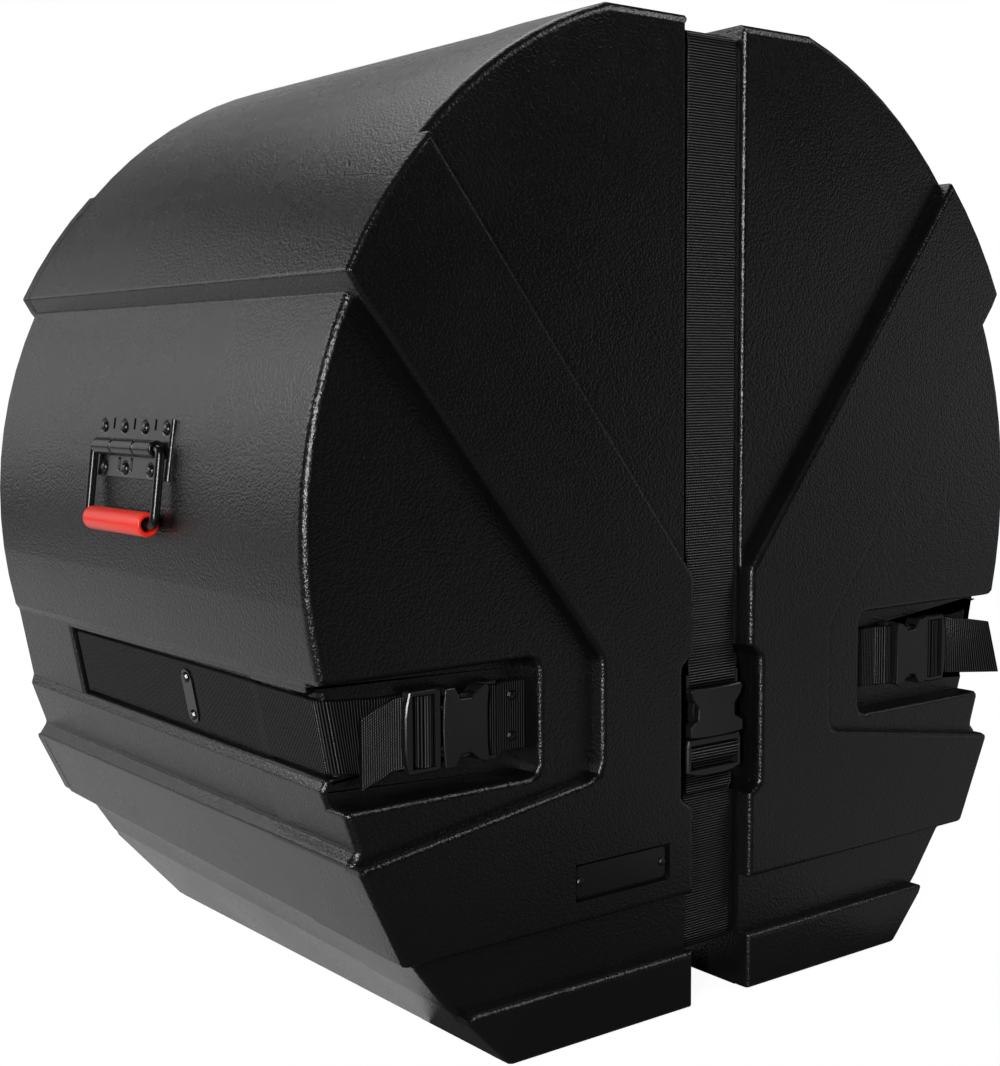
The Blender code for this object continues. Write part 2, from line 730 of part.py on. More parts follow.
def softened(bm, radius, angle=50):
    edges = [edge for edge in bm.edges if edge.calc_face_angle(0.0) > radians(angle)]
    bmesh.ops.bevel(bm, geom=edges, offset=radius, segments=1, affect="EDGES",
                    profile=0.5, material=-1, clamp_overlap=True)
    return bm


def slab(points, low, high):
    """A flat outline between two levels of the local third axis."""
    return cut_out(points, high - low, Matrix.Translation((0, 0, (low + high) / 2)))


def rounded_rectangle(length, width, radius):
    points = []
    for x, y, start in ((1, 1, 0), (-1, 1, 90), (-1, -1, 180), (1, -1, 270)):
        for k in range(3):
            angle = radians(start + 45 * k)
            points.append((x * (length / 2 - radius) + radius * cos(angle),
                           y * (width / 2 - radius) + radius * sin(angle)))
    return points


def rivet(matrix, x, y, level, grip):
    """Domed rivet; level is the seat of its head and grip the length it clamps."""
    head, shank = RIVET_HEAD_RADIUS, RIVET_SHANK_RADIUS
    height, end = RIVET_HEAD_HEIGHT, -grip
    profile = [(0.0, height), (head * 0.7, height * 0.66), (head, 0.0), (shank, 0.0),
               (shank, end), (RIVET_TAIL_RADIUS, end),
               (RIVET_TAIL_RADIUS * 0.8, end - RIVET_TAIL_HEIGHT),
               (0.0, end - RIVET_TAIL_HEIGHT)]
    return turned(profile, RIVET_STEPS, matrix @ Matrix.Translation((x, y, level)))


def hole(matrix, x, y, radius=RIVET_SHANK_RADIUS + HOLE_CLEARANCE, reach=0.012):
    """A hole along the matrix's third axis."""
    return (matrix @ Vector((x, y, 0.0)), matrix.to_3x3() @ Vector((0, 0, 1)), radius, reach)


def riveted_plate(place, size, level, seat, points):
    """Backing plate inside the shell, its outer face at level, with its rivets."""
    width, length, radius = size
    plate = slab(rounded_rectangle(width, length, radius), level - BACKING_THICKNESS, level)
    grip = seat - level + BACKING_THICKNESS / 2
    rivets = merged([rivet(place, x, y, seat, grip) for x, y in points])
    return combined(placed(plate, place), [rivets], "UNION")


# Where things sit: local frames with the third axis pointing out of the case

def handle_frame(side):
    """On the wall behind the handle plate, at the middle of the barrel."""
    reach = CHEEK_RADIUS - REAR_STEP + TOUCH
    angle = asin((HANDLE_HEIGHT - AXIS_HEIGHT) / (reach + BARREL_RADIUS))
    out = Vector((side * cos(angle), 0, sin(angle)))
    up = Vector((-side * sin(angle), 0, cos(angle)))
    origin = Vector((0, FRONT + HANDLE_DEPTH, AXIS_HEIGHT)) + out * reach
    return frame(origin, Vector((0, 1, 0)), up, out)


def side_anchor_frame(side):
    sunk = SIDE_CHANNEL_DEPTH + REAR_STEP
    low = facet_point(ANCHOR_DEPTH, 0.0, sunk)
    high = facet_point(ANCHOR_DEPTH, 1.0, sunk)
    along = (high - low).normalized()
    middle = low.lerp(high, SIDE_STRAP_SHARE)
    up = Vector((side * along.x, 0, along.y))
    out = Vector((side * along.y, 0, -along.x))
    origin = Vector((side * middle.x, FRONT + ANCHOR_DEPTH, middle.y))
    return frame(origin, Vector((0, 1, 0)), up, out)


def centre_anchor_frame(top):
    z = HEIGHT - CHANNEL_TOP - REAR_STEP if top else CHANNEL_UNDER + REAR_STEP
    return frame(Vector((0, FRONT + ANCHOR_DEPTH, z)), Vector((0, 1, 0)), Vector((1, 0, 0)),
                 Vector((0, 0, 1 if top else -1)))


def socket_rivet_frame(side):
    origin = Vector((side * SOCKET_RIVETS, FRONT + SIDE_POCKET_FLOOR, SIDE_STRAP_HEIGHT))
    return frame(origin, Vector((1, 0, 0)), Vector((0, 0, 1)), Vector((0, -1, 0)))


def badge_frame():
    x, z = BADGE_CENTRE
    origin = Vector((x, FRONT + BADGE_RECESS_DEPTH, z))
    return frame(origin, Vector((1, 0, 0)), Vector((0, 0, 1)), Vector((0, -1, 0)))


def buckle_frame(name):
    """At the mouth of the socket, on the plug's back; first axis into the socket."""
    mouth = BUCKLE_MOUTHS[name]
    if name == "centre":
        back = CHANNEL_FLOOR_LOW - 2 * TOUCH - STRAP_THICKNESS
        return frame(Vector((0, FRONT + back, mouth)), Vector((0, 0, 1)), Vector((1, 0, 0)),
                     Vector((0, -1, 0)))
    side = -1 if name == "left" else 1
    back = SIDE_POCKET_FLOOR - TOUCH - SOCKET_BACK
    origin = Vector((side * mouth, FRONT + back, SIDE_STRAP_HEIGHT))
    return frame(origin, Vector((-side, 0, 0)), Vector((0, 0, 1)), Vector((0, -1, 0)))


ANCHOR_HOLES = (-RIVET_SPACING / 2, RIVET_SPACING / 2)


def rear_holes():
    holes = []
    for side in (-1, 1):
        place = handle_frame(side)
        holes += [hole(place, x, y) for x, y in HANDLE_RIVETS]
        holes += [hole(side_anchor_frame(side), 0, y) for y in ANCHOR_HOLES]
    for top in (False, True):
        holes += [hole(centre_anchor_frame(top), 0, y) for y in ANCHOR_HOLES]
    return holes


def front_holes():
    holes = []
    for side in (-1, 1):
        holes += [hole(socket_rivet_frame(side), 0, y) for y in ANCHOR_HOLES]
    for x in (-BADGE_SCREW, BADGE_SCREW):
        holes.append(hole(badge_frame(), x, 0, SCREW_SHANK_RADIUS + HOLE_CLEARANCE))
    return holes


# Foam

def pad(low, high):
    place = frame(Vector((0, FRONT + low, AXIS_HEIGHT)), Vector((1, 0, 0)), Vector((0, 0, -1)),
                  Vector((0, 1, 0)))
    steps = 40
    points = [(PAD_RADIUS * cos(2 * pi * k / steps), PAD_RADIUS * sin(2 * pi * k / steps))
              for k in range(steps)]
    return placed(slab(points, 0.0, high - low), place)


def front_foam_pad():
    low = RELIEF + WALL + 2 * TOUCH
    return combined(pad(low, low + PAD_THICKNESS), [lid_form(WALL + TOUCH)], "INTERSECT")


def rear_foam_pad():
    high = DEPTH - REAR_RELIEF - WALL - TOUCH
    return pad(high - PAD_THICKNESS, high)


# Handles

def handle_plate(side):
    outline_points = rounded_rectangle(PLATE_WIDTH, PLATE_HEIGHT, 0.003)
    plate = slab(outline_points, 0.0, PLATE_THICKNESS)
    width, length = HANDLE_SLOT
    slots = [box((x - width / 2, PLATE_HEIGHT / 2 - length, -0.01),
                 (x + width / 2, PLATE_HEIGHT / 2 + 0.01, 0.01)) for x in HANDLE_SLOTS]
    plate = combined(plate, [merged(slots)], "DIFFERENCE")
    third = BARREL_LENGTH / 3
    knuckles = []
    for k in (-1, 0, 1):
        start, end = (k - 0.5) * third + BARREL_GAP / 2, (k + 0.5) * third - BARREL_GAP / 2
        axis = BARREL_RADIUS + 0.0001
        knuckles.append(rod([(start, 0, axis), (end, 0, axis)], BARREL_RADIUS, 5))
    plate = combined(plate, [merged(knuckles)], "UNION")
    bore = rod([(-0.1, 0, BARREL_RADIUS), (0.1, 0, BARREL_RADIUS)],
               BAIL_WIRE_RADIUS + TOUCH, 3)
    plate = combined(plate, [bore], "DIFFERENCE")
    place = handle_frame(side)
    return drilled(placed(plate, place), [hole(place, x, y) for x, y in HANDLE_RIVETS])


def handle_backing(side):
    """Plate inside the shell with the rivets that are closed on it."""
    return riveted_plate(handle_frame(side), (PLATE_WIDTH, BACKING_HEIGHT, 0.003),
                         -WALL - TOUCH - BACKING_GAP, PLATE_THICKNESS + TOUCH, HANDLE_RIVETS)


def bail_points(side):
    """Hinge point of the bail and the middle of its grip."""
    hinge = handle_frame(side) @ Vector((0, 0, BARREL_RADIUS))
    x = CHEEK_RADIUS - REAR_STEP + TOUCH + GRIP_RADIUS
    grip = Vector((side * x, hinge.y, hinge.z - BAIL_DROP))
    return hinge, grip


def handle_bail(side):
    hinge, grip = bail_points(side)
    span = Vector((0, BAIL_HALF_SPAN, 0))
    corners = [hinge - span, hinge + span, grip + span, grip - span]
    path = []
    for i in range(4):
        before, here, after = corners[i - 1], corners[i], corners[(i + 1) % 4]
        bend = rounded([(before, 0), (here, BAIL_BEND), (after, 0)])
        path += bend[1:-1]
    return rod(path, BAIL_WIRE_RADIUS, 2, True)


def handle_grip(side):
    """Vinyl tube on the bail, bored for the wire."""
    hinge, grip = bail_points(side)
    outer, inner, half = GRIP_RADIUS, BAIL_WIRE_RADIUS + TOUCH, GRIP_LENGTH / 2
    profile = [(inner, half), (outer - 0.0012, half), (outer, half - 0.0015),
               (outer, 0.0015 - half), (outer - 0.0012, -half), (inner, -half), (inner, half)]
    place = frame(grip, Vector((1, 0, 0)), Vector((0, 0, -1)), Vector((0, 1, 0)))
    return turned(profile, 16, place)


# Webbing on the sides

def side_strap_point(side, depth, deeper):
    sunk = SIDE_CHANNEL_DEPTH + deeper - TOUCH - STRAP_THICKNESS / 2
    p = facet_point(depth, SIDE_STRAP_SHARE, sunk)
    return Vector((side * p.x, FRONT + depth, p.y))


def side_across(side, depth):
    along = facet_point(depth, 1.0, 0.0) - facet_point(depth, 0.0, 0.0)
    return Vector((side * along.x, 0, along.y)).normalized()


def side_strap_rear(side):
    path = [side_strap_point(side, STRAP_REAR_END, REAR_STEP),
            side_strap_point(side, BRIDGE_END + TOUCH, REAR_STEP)]
    strap = webbing(path, lambda point: side_across(side, point.y - FRONT))
    place = side_anchor_frame(side)
    return drilled(strap, [hole(place, 0, y) for y in ANCHOR_HOLES])


def side_strap_bridge(side):
    path = [side_strap_point(side, BRIDGE_END, REAR_STEP), side_strap_point(side, SEAM + 0.001, 0),
            side_strap_point(side, BRIDGE_START + TOUCH, 0)]
    return webbing(path, lambda point: side_across(side, point.y - FRONT))


def side_strap_front(side):
    """Round the corner on to the pocket floor and on below the plug."""
    floor = SIDE_POCKET_FLOOR - TOUCH - STRAP_THICKNESS / 2
    turn = side_strap_point(side, floor, 0.0)
    mouth = BUCKLE_MOUTHS["left" if side < 0 else "right"]
    end = Vector((side * (mouth + 0.0015), turn.y, SIDE_STRAP_HEIGHT))
    level = Vector((side * (mouth + 0.045), turn.y, SIDE_STRAP_HEIGHT))
    radius = CHANNEL_BEND + TOUCH + STRAP_THICKNESS / 2
    path = rounded([(side_strap_point(side, BRIDGE_START, 0.0), 0), (turn, radius),
                    (level, 0.02), (end, 0)])
    lean = side_across(side, floor)

    def across(point):
        share = (abs(point.x) - abs(level.x)) / (abs(turn.x) - 0.01 - abs(level.x))
        return Vector((0, 0, 1)).lerp(lean, min(1.0, max(0.0, share)))

    return webbing(path, across)


def anchor_plate(place):
    low = STRAP_THICKNESS + 2 * TOUCH
    plate = slab(rounded_rectangle(ANCHOR_WIDTH, ANCHOR_LENGTH, 0.0065), low,
                 low + ANCHOR_THICKNESS)
    return drilled(placed(plate, place), [hole(place, 0, y) for y in ANCHOR_HOLES])


def anchor_backing(place):
    level = STRAP_THICKNESS + ANCHOR_THICKNESS + 3 * TOUCH
    return riveted_plate(place, (ANCHOR_WIDTH, ANCHOR_LENGTH, 0.0065), -WALL - TOUCH, level,
                         [(0, y) for y in ANCHOR_HOLES])


def socket_webbing(side):
    """Short webbing, folded round the socket's bar and riveted to the pocket floor."""
    name = "left" if side < 0 else "right"
    place = buckle_frame(name)
    bar, level = LUG_BAR
    low = level - LOOP_RADIUS
    folded = low + STRAP_THICKNESS + TOUCH
    end = BUCKLE_MOUTHS[name] - SOCKET_WEB_END
    path = [((end, low), 0), ((bar - LOOP_RADIUS, low), LOOP_RADIUS - 0.0002),
            ((bar - LOOP_RADIUS, level + LOOP_RADIUS), LOOP_RADIUS - 0.0002),
            ((bar + 0.006, level + LOOP_RADIUS), 0.004), ((bar + 0.013, folded), 0.006),
            ((end, folded), 0)]
    points = rounded([(Vector((u, 0, w)), r) for (u, w), r in path])
    strap = webbing(points, lambda point: Vector((0, 1, 0)), LOOP_WIDTH)
    rivets = socket_rivet_frame(side)
    return drilled(placed(strap, place), [hole(rivets, 0, y) for y in ANCHOR_HOLES])


def socket_backing(side):
    return riveted_plate(socket_rivet_frame(side), (ANCHOR_WIDTH, ANCHOR_LENGTH, 0.0065),
                         -WALL - TOUCH, 2 * STRAP_THICKNESS + 3 * TOUCH,
                         [(0, y) for y in ANCHOR_HOLES])


# Webbing round the middle

def centre_path(points):
    return [(Vector((0, FRONT + depth, z)), radius) for depth, z, radius in points]


def middle_webbing(points, width=STRAP_WIDTH):
    return webbing(rounded(centre_path(points)), lambda point: Vector((1, 0, 0)), width)


TOP_LEVEL = HEIGHT - CHANNEL_TOP + TOUCH + STRAP_THICKNESS / 2
UNDER_LEVEL = CHANNEL_UNDER - TOUCH - STRAP_THICKNESS / 2


def top_strap_front():
    """Down the face and round the bar of the centre socket."""
    front = CHANNEL_FLOOR - TOUCH - STRAP_THICKNESS / 2
    place = buckle_frame("centre")
    bar = place @ Vector((LUG_BAR[0], 0, LUG_BAR[1]))
    depth, z = bar.y - FRONT, bar.z
    near, far = depth - LOOP_RADIUS, depth + LOOP_RADIUS
    bend = CHANNEL_BEND + TOUCH + STRAP_THICKNESS / 2
    return middle_webbing([
        (BRIDGE_START, TOP_LEVEL, 0), (front, TOP_LEVEL, bend),
        (front, CENTRE_POCKET_HIGH + 0.004, 0.02), (near, z + 0.008, 0.01),
        (near, z - LOOP_RADIUS, LOOP_RADIUS - 0.0002),
        (far, z - LOOP_RADIUS, LOOP_RADIUS - 0.0002), (far, z + 0.005, 0.003),
        (near + STRAP_THICKNESS + 0.0022, z + 0.0105, 0.006),
        (front + STRAP_THICKNESS + 0.0012, CENTRE_POCKET_HIGH - 0.003, 0)], LOOP_WIDTH)


def bottom_strap_front():
    front = CHANNEL_FLOOR_LOW - TOUCH - STRAP_THICKNESS / 2
    bend = CHANNEL_BEND + TOUCH + STRAP_THICKNESS / 2
    return middle_webbing([(front, BUCKLE_MOUTHS["centre"] - 0.0015, 0),
                           (front, UNDER_LEVEL, bend), (BRIDGE_START, UNDER_LEVEL, 0)])


def middle_bridge(top):
    level = TOP_LEVEL if top else UNDER_LEVEL
    deeper = level - REAR_STEP if top else level + REAR_STEP
    return middle_webbing([(BRIDGE_END, deeper, 0), (SEAM + 0.001, level, 0),
                           (BRIDGE_START + TOUCH, level, 0)])


def middle_strap_rear(top):
    level = TOP_LEVEL - REAR_STEP if top else UNDER_LEVEL + REAR_STEP
    strap = middle_webbing([(STRAP_REAR_END, level, 0), (BRIDGE_END + TOUCH, level, 0)])
    place = centre_anchor_frame(top)
    return drilled(strap, [hole(place, 0, y) for y in ANCHOR_HOLES])


# Buckles, in the local frame: first axis into the socket, third out of the case

def buckle_socket(name):
    wide, end = SOCKET_HALF_WIDTH, SOCKET_LENGTH
    half = [(0.0, wide - 0.0008), (0.0012, wide), (0.0080, wide), (0.0130, 0.0186),
            (0.0215, 0.0182), (0.0285, 0.0245), (end - 0.002, wide - 0.0005),
            (end, wide - 0.0025)]
    shape = half + [(u, -v) for u, v in reversed(half)]
    body_part = softened(slab(shape, -SOCKET_BACK, SOCKET_FRONT), 0.0012, 60)
    cavity = box((-0.01, -0.0222, SOCKET_WALL - SOCKET_BACK),
                 (end - 0.003, 0.0222, SOCKET_FRONT - SOCKET_WALL))
    body_part = combined(body_part, [cavity], "DIFFERENCE")
    ears = [box((end - 0.0025, side * 0.02525 - 0.0011, -0.0010),
                (end + LUG_LENGTH, side * 0.02525 + 0.0011, 0.0056)) for side in (-1, 1)]
    bar = rod([(LUG_BAR[0], -0.0252, LUG_BAR[1]), (LUG_BAR[0], 0.0252, LUG_BAR[1])],
              BAR_RADIUS, 2)
    body_part = combined(body_part, ears + [bar], "UNION")
    return placed(body_part, buckle_frame(name))


def buckle_plug(name):
    wide, end = PLUG_HALF_WIDTH, -PLUG_LENGTH
    half = [(end - 0.001, 0.010), (end, 0.018), (end + 0.0025, wide), (-0.0055, wide),
            (-TOUCH, wide - 0.0015)]
    shape = half + [(u, -v) for u, v in reversed(half)]
    plug = softened(slab(shape, 0.0, PLUG_THICKNESS), 0.0010, 60)
    window = box((end + END_BAR, -SLOT_HALF_WIDTH, -0.01),
                 (-PLUG_BLOCK, SLOT_HALF_WIDTH, 0.02))
    relief = box((end - 0.01, -SLOT_HALF_WIDTH, -0.01),
                 (end + END_BAR + 0.001, SLOT_HALF_WIDTH, STRAP_THICKNESS + 0.0010))
    plug = combined(plug, [window, relief], "DIFFERENCE")
    u, w = MIDDLE_BAR
    bar = rod([(u, -0.0255, w), (u, 0.0255, w)], BAR_RADIUS, 2)
    length, width, low, high = TONGUE
    blade = box((-0.0030, -width, low), (length, width, high))
    plug = combined(plug, [bar, blade], "UNION")
    return placed(plug, buckle_frame(name))


def buckle_arm(name, upper):
    """Squeeze arm: a flat spring that bulges into the socket's side notch."""
    u, v = ARM_HINGE
    root = []
    for k in range(5):
        angle = radians(130 + 40 * k)
        root.append((u + 0.0022 * cos(angle), v + 0.0022 * sin(angle)))
    shape = root + [(0.0068, 0.0124), (0.0140, 0.0158), (0.0240, 0.0164), (0.0288, 0.0155),
                    (0.0298, 0.0172), (0.0262, 0.0200), (0.0205, 0.0213), (0.0125, 0.0208),
                    (0.0062, 0.0168)]
    arm = softened(slab(shape, *ARM_DEPTHS), 0.0006, 60)
    if not upper:
        bmesh.ops.scale(arm, vec=(1, -1, 1), verts=arm.verts)
        bmesh.ops.reverse_faces(arm, faces=arm.faces)
    return placed(arm, buckle_frame(name))


def strap_tail(name):
    """The loose end: round the plug's middle bar, below its end bar and out."""
    u, w = MIDDLE_BAR
    over = w + BAR_RADIUS + TOUCH + STRAP_THICKNESS / 2
    inner, outer = u + 0.0045, u - 0.0045
    path = [((inner, 0, TAIL_LEVEL + 0.0002), 0), ((inner, 0, over), 0.0028),
            ((outer, 0, over), 0.0028), ((outer, 0, TAIL_LEVEL), 0.0018)]
    path += TAIL_ROUTES[name]
    points = rounded([(Vector(point), radius) for point, radius in path])

    def across(point):
        share = (-point.x - TAIL_TWIST_START) / TAIL_TWIST_LENGTH
        return Vector((TAIL_TWIST[name] * min(1.0, max(0.0, share)), 1.0, 0.0))

    return placed(webbing(points, across, LOOP_WIDTH), buckle_frame(name))


# Badge

def badge_plate():
    plate = slab(rounded_rectangle(BADGE_LENGTH, BADGE_HEIGHT, 0.003), TOUCH,
                 TOUCH + BADGE_THICKNESS)
    place, radius = badge_frame(), SCREW_SHANK_RADIUS + HOLE_CLEARANCE
    return drilled(placed(plate, place),
                   [hole(place, x, 0, radius) for x in (-BADGE_SCREW, BADGE_SCREW)])


def badge_screw(x):
    head, height = SCREW_HEAD_RADIUS, SCREW_HEAD_HEIGHT
    profile = [(0.0, height), (head * 0.7, height * 0.85), (head, height * 0.3), (head, 0.0),
               (SCREW_SHANK_RADIUS, 0.0), (SCREW_SHANK_RADIUS, 0.002 - SCREW_LENGTH),
               (0.0, -SCREW_LENGTH)]
    level = BADGE_THICKNESS + 2 * TOUCH
    return turned(profile, RIVET_STEPS, badge_frame() @ Matrix.Translation((x, 0, level)))


plastic = finish("black_polyethylene", (0.020, 0.020, 0.021), 0.55)
nylon = finish("black_webbing", (0.012, 0.012, 0.013), 0.85)
acetal = finish("black_acetal", (0.016, 0.016, 0.017), 0.35)
steel = finish("black_coated_steel", (0.015, 0.015, 0.016), 0.22)
vinyl = finish("red_vinyl", (0.76, 0.023, 0.009), 0.4)
foam = finish("grey_foam", (0.10, 0.10, 0.10), 0.95)
enamel = finish("dark_badge", (0.014, 0.014, 0.015), 0.35)

body("lid", (0.0, FRONT + SEAM, AXIS_HEIGHT))
piece("rear_shell", drilled(rear_shell(), rear_holes()), plastic)
piece("front_shell", drilled(front_shell(), front_holes()), plastic, "lid")
piece("rear_foam_pad", rear_foam_pad(), foam)
piece("front_foam_pad", front_foam_pad(), foam, "lid")

for side, name in ((-1, "left"), (1, "right")):
    handle = name + "_handle"
    body(handle, bail_points(side)[0])
    piece(name + "_handle_plate", handle_plate(side), steel)
    piece(name + "_handle_backing", handle_backing(side), steel)
    piece(name + "_handle_bail", handle_bail(side), steel, handle)
    piece(name + "_handle_grip", handle_grip(side), vinyl, handle)
    piece(name + "_strap_rear", side_strap_rear(side), nylon)
    piece(name + "_strap_bridge", side_strap_bridge(side), nylon)
    piece(name + "_strap_front", side_strap_front(side), nylon, "lid")
    piece(name + "_strap_anchor_plate", anchor_plate(side_anchor_frame(side)), steel)
    piece(name + "_strap_anchor_backing", anchor_backing(side_anchor_frame(side)), steel)
    piece(name + "_socket_webbing", socket_webbing(side), nylon, "lid")
    piece(name + "_socket_backing", socket_backing(side), steel, "lid")

for name in ("left", "right", "centre"):
    plug = name + "_plug"
    place = buckle_frame(name)
    body(plug, place.translation, "lid")
    piece(name + "_buckle_socket", buckle_socket(name), acetal, "lid")
    piece(name + "_buckle_plug", buckle_plug(name), acetal, plug)
    piece(name + "_strap_tail", strap_tail(name), nylon, plug)
    for word, sign in (("upper", 1), ("lower", -1)) if name != "centre" else (
            ("right", 1), ("left", -1)):
        arm = f"{name}_{word}_arm"
        body(arm, place @ Vector((ARM_HINGE[0], sign * ARM_HINGE[1], 0.0)), plug)
        piece(f"{name}_buckle_{word}_arm", buckle_arm(name, sign > 0), acetal, arm)

piece("top_strap_rear", middle_strap_rear(True), nylon)
piece("top_strap_bridge", middle_bridge(True), nylon)
piece("top_strap_front", top_strap_front(), nylon, "lid")
piece("top_anchor_plate", anchor_plate(centre_anchor_frame(True)), steel)
piece("top_anchor_backing", anchor_backing(centre_anchor_frame(True)), steel)
piece("bottom_strap_rear", middle_strap_rear(False), nylon)
piece("bottom_strap_bridge", middle_bridge(False), nylon)
piece("bottom_strap_front", bottom_strap_front(), nylon, "lid")
piece("bottom_anchor_plate", anchor_plate(centre_anchor_frame(False)), steel)
piece("bottom_anchor_backing", anchor_backing(centre_anchor_frame(False)), steel)
piece("badge_plate", badge_plate(), enamel, "lid")
piece("badge_left_screw", badge_screw(-BADGE_SCREW), steel, "lid")
piece("badge_right_screw", badge_screw(BADGE_SCREW), steel, "lid")
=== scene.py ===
import bmesh
import bpy
import json
from math import cos, pi, radians, sin, tan
from mathutils import Matrix, Vector


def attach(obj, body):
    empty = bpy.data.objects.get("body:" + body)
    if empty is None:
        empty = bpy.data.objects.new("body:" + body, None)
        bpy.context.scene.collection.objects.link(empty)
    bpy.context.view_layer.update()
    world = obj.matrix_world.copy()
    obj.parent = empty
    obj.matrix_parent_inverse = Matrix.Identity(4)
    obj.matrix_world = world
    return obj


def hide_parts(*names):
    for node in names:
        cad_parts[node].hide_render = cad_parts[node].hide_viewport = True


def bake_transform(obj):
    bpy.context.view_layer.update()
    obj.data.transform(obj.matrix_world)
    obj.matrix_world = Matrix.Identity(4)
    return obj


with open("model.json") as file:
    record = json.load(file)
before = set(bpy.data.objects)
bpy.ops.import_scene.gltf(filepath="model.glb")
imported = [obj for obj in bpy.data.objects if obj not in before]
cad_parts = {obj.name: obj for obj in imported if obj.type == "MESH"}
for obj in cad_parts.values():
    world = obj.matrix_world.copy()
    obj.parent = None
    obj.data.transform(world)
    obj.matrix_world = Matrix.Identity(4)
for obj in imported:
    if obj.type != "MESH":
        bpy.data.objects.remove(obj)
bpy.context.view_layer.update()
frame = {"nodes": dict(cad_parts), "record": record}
print("frame loaded")


def linear(hexColour):
    values = [int(hexColour[i:i + 2], 16) / 255 for i in (1, 3, 5)]
    return [v / 12.92 if v <= 0.04045 else ((v + 0.055) / 1.055) ** 2.4 for v in values] + [1.0]


def addNode(tree, kind, links=None, **settings):
    # settings that name an input are its value, the others belong to the node itself
    node = tree.nodes.new(kind)
    for key, value in settings.items():
        name = key.replace("_", " ")
        if name in node.inputs:
            node.inputs[name].default_value = value
        else:
            setattr(node, key, value)
    for key, source in (links or {}).items():
        tree.links.new(source, node.inputs[key])
    return node


def newMaterial(name, **shader):
    material = bpy.data.materials.new(name)
    material.use_nodes = True
    tree = material.node_tree
    surface = tree.nodes["Principled BSDF"]
    for key, value in shader.items():
        surface.inputs[key.replace("_", " ")].default_value = value
    return material, tree, surface


def objectPlace(tree):
    return addNode(tree, "ShaderNodeTexCoord").outputs["Object"]


def mixColour(tree, share, first, second, target):
    mix = addNode(tree, "ShaderNodeMix", {"Factor": share}, data_type="RGBA")
    mix.inputs[6].default_value = linear(first)
    mix.inputs[7].default_value = linear(second)
    tree.links.new(mix.outputs[2], target)


def spread(tree, share, limits, target):
    level = addNode(tree, "ShaderNodeMapRange", {"Value": share}, To_Min=limits[0],
                    To_Max=limits[1])
    tree.links.new(level.outputs[0], target)


def emboss(tree, height, relief, surface, **settings):
    strength, depth = relief
    bump = addNode(tree, "ShaderNodeBump", {"Height": height}, Strength=strength,
                   Distance=depth, **settings)
    tree.links.new(bump.outputs["Normal"], surface.inputs["Normal"])


# Rotomoulded polyethylene: black all through, with the mould's blasted pebble grain, so that
# every rounded edge breaks its highlight into small sparks. In every look, relief holds the
# strength of the bump and its depth in metres.
polyethyleneLook = {
    "colour": "#070708",
    "worn": "#0d0d0e",
    "roughness": (0.22, 0.33),
    "pebble": 0.0020,        # metres across, a little coarser than the real grain so it shows
    "grain": 0.0008,
    "grainShare": 0.6,
    "relief": (1.0, 0.00026),
    "wave": 0.085,           # the slow unevenness of a wall that cooled in its mould
}


def mouldedPolyethylene():
    look = polyethyleneLook
    material, tree, surface = newMaterial("mouldedPolyethylene", IOR=1.5)
    place = objectPlace(tree)
    pebble = addNode(tree, "ShaderNodeTexVoronoi", {"Vector": place}, feature="SMOOTH_F1",
                     Scale=1 / look["pebble"], Smoothness=0.5)
    grain = addNode(tree, "ShaderNodeTexNoise", {"Vector": place}, Scale=1 / look["grain"],
                    Detail=2.0)
    cloud = addNode(tree, "ShaderNodeTexNoise", {"Vector": place}, Scale=1 / look["wave"],
                    Detail=3.0, Roughness=0.6)
    level = addNode(tree, "ShaderNodeMath", {0: grain.outputs["Fac"],
                                             2: pebble.outputs["Distance"]},
                    operation="MULTIPLY_ADD")
    level.inputs[1].default_value = look["grainShare"]
    emboss(tree, level.outputs[0], look["relief"], surface, invert=True)
    mixColour(tree, cloud.outputs["Fac"], look["colour"], look["worn"],
              surface.inputs["Base Color"])
    spread(tree, cloud.outputs["Fac"], look["roughness"], surface.inputs["Roughness"])
    return material


# Woven polypropylene webbing: heavy ribs across the strap with a fine twill on them. A thin
# grey line is painted on each rib's crest as a painted highlight, and the grooves between are
# painted black, with little gloss, as painted shade.
webbingLook = {
    # colour is the painted highlight on the crests; the next one is the painted shade in the
    # grooves
    "colour": "#242426",
    "paintedGrooveShade": "#020202",
    "ribPitch": 0.00195,
    "crest": 3.0,            # how narrow the painted highlight line is
    "gloss": (0.05, 1.0),    # in the grooves, kept low as painted shade, and on the crest
    "yarn": 0.0009,
    "yarnTurn": 0.32,
    "relief": (0.5, 0.00025),
    "roughness": 0.38,
}


def wovenWebbing():
    look = webbingLook
    material, tree, surface = newMaterial("wovenWebbing", IOR=1.49, Roughness=look["roughness"])
    place = addNode(tree, "ShaderNodeUVMap").outputs[0]
    yarn = addNode(tree, "ShaderNodeTexWave", {"Vector": place}, bands_direction="DIAGONAL",
                   Scale=look["yarnTurn"] / look["yarn"], Distortion=0.6, Detail=1.0)
    # a wave node of scale 1 repeats after 2 pi / 20
    rib = addNode(tree, "ShaderNodeTexWave", {"Vector": place}, bands_direction="Y",
                  Scale=2 * pi / 20 / look["ribPitch"], Phase_Offset=pi)
    crest = addNode(tree, "ShaderNodeMath", {0: rib.outputs["Fac"]}, operation="POWER")
    crest.inputs[1].default_value = look["crest"]
    # the grooves take the painted shade colour and the crests the painted highlight colour and
    # gloss
    mixColour(tree, crest.outputs[0], look["paintedGrooveShade"], look["colour"],
              surface.inputs["Base Color"])
    spread(tree, crest.outputs[0], look["gloss"], surface.inputs["Specular IOR Level"])
    emboss(tree, yarn.outputs["Fac"], look["relief"], surface)
    return material


# Injection moulded acetal of the buckles: smooth and half glossy, with faint flow marks.
acetalLook = {
    "name": "mouldedAcetal",
    "refraction": 1.48,
    "colour": "#161617",
    "roughness": (0.19, 0.32),
    "marks": 160.0,
    "detail": 3.0,
    "relief": (0.08, 0.0002),
}

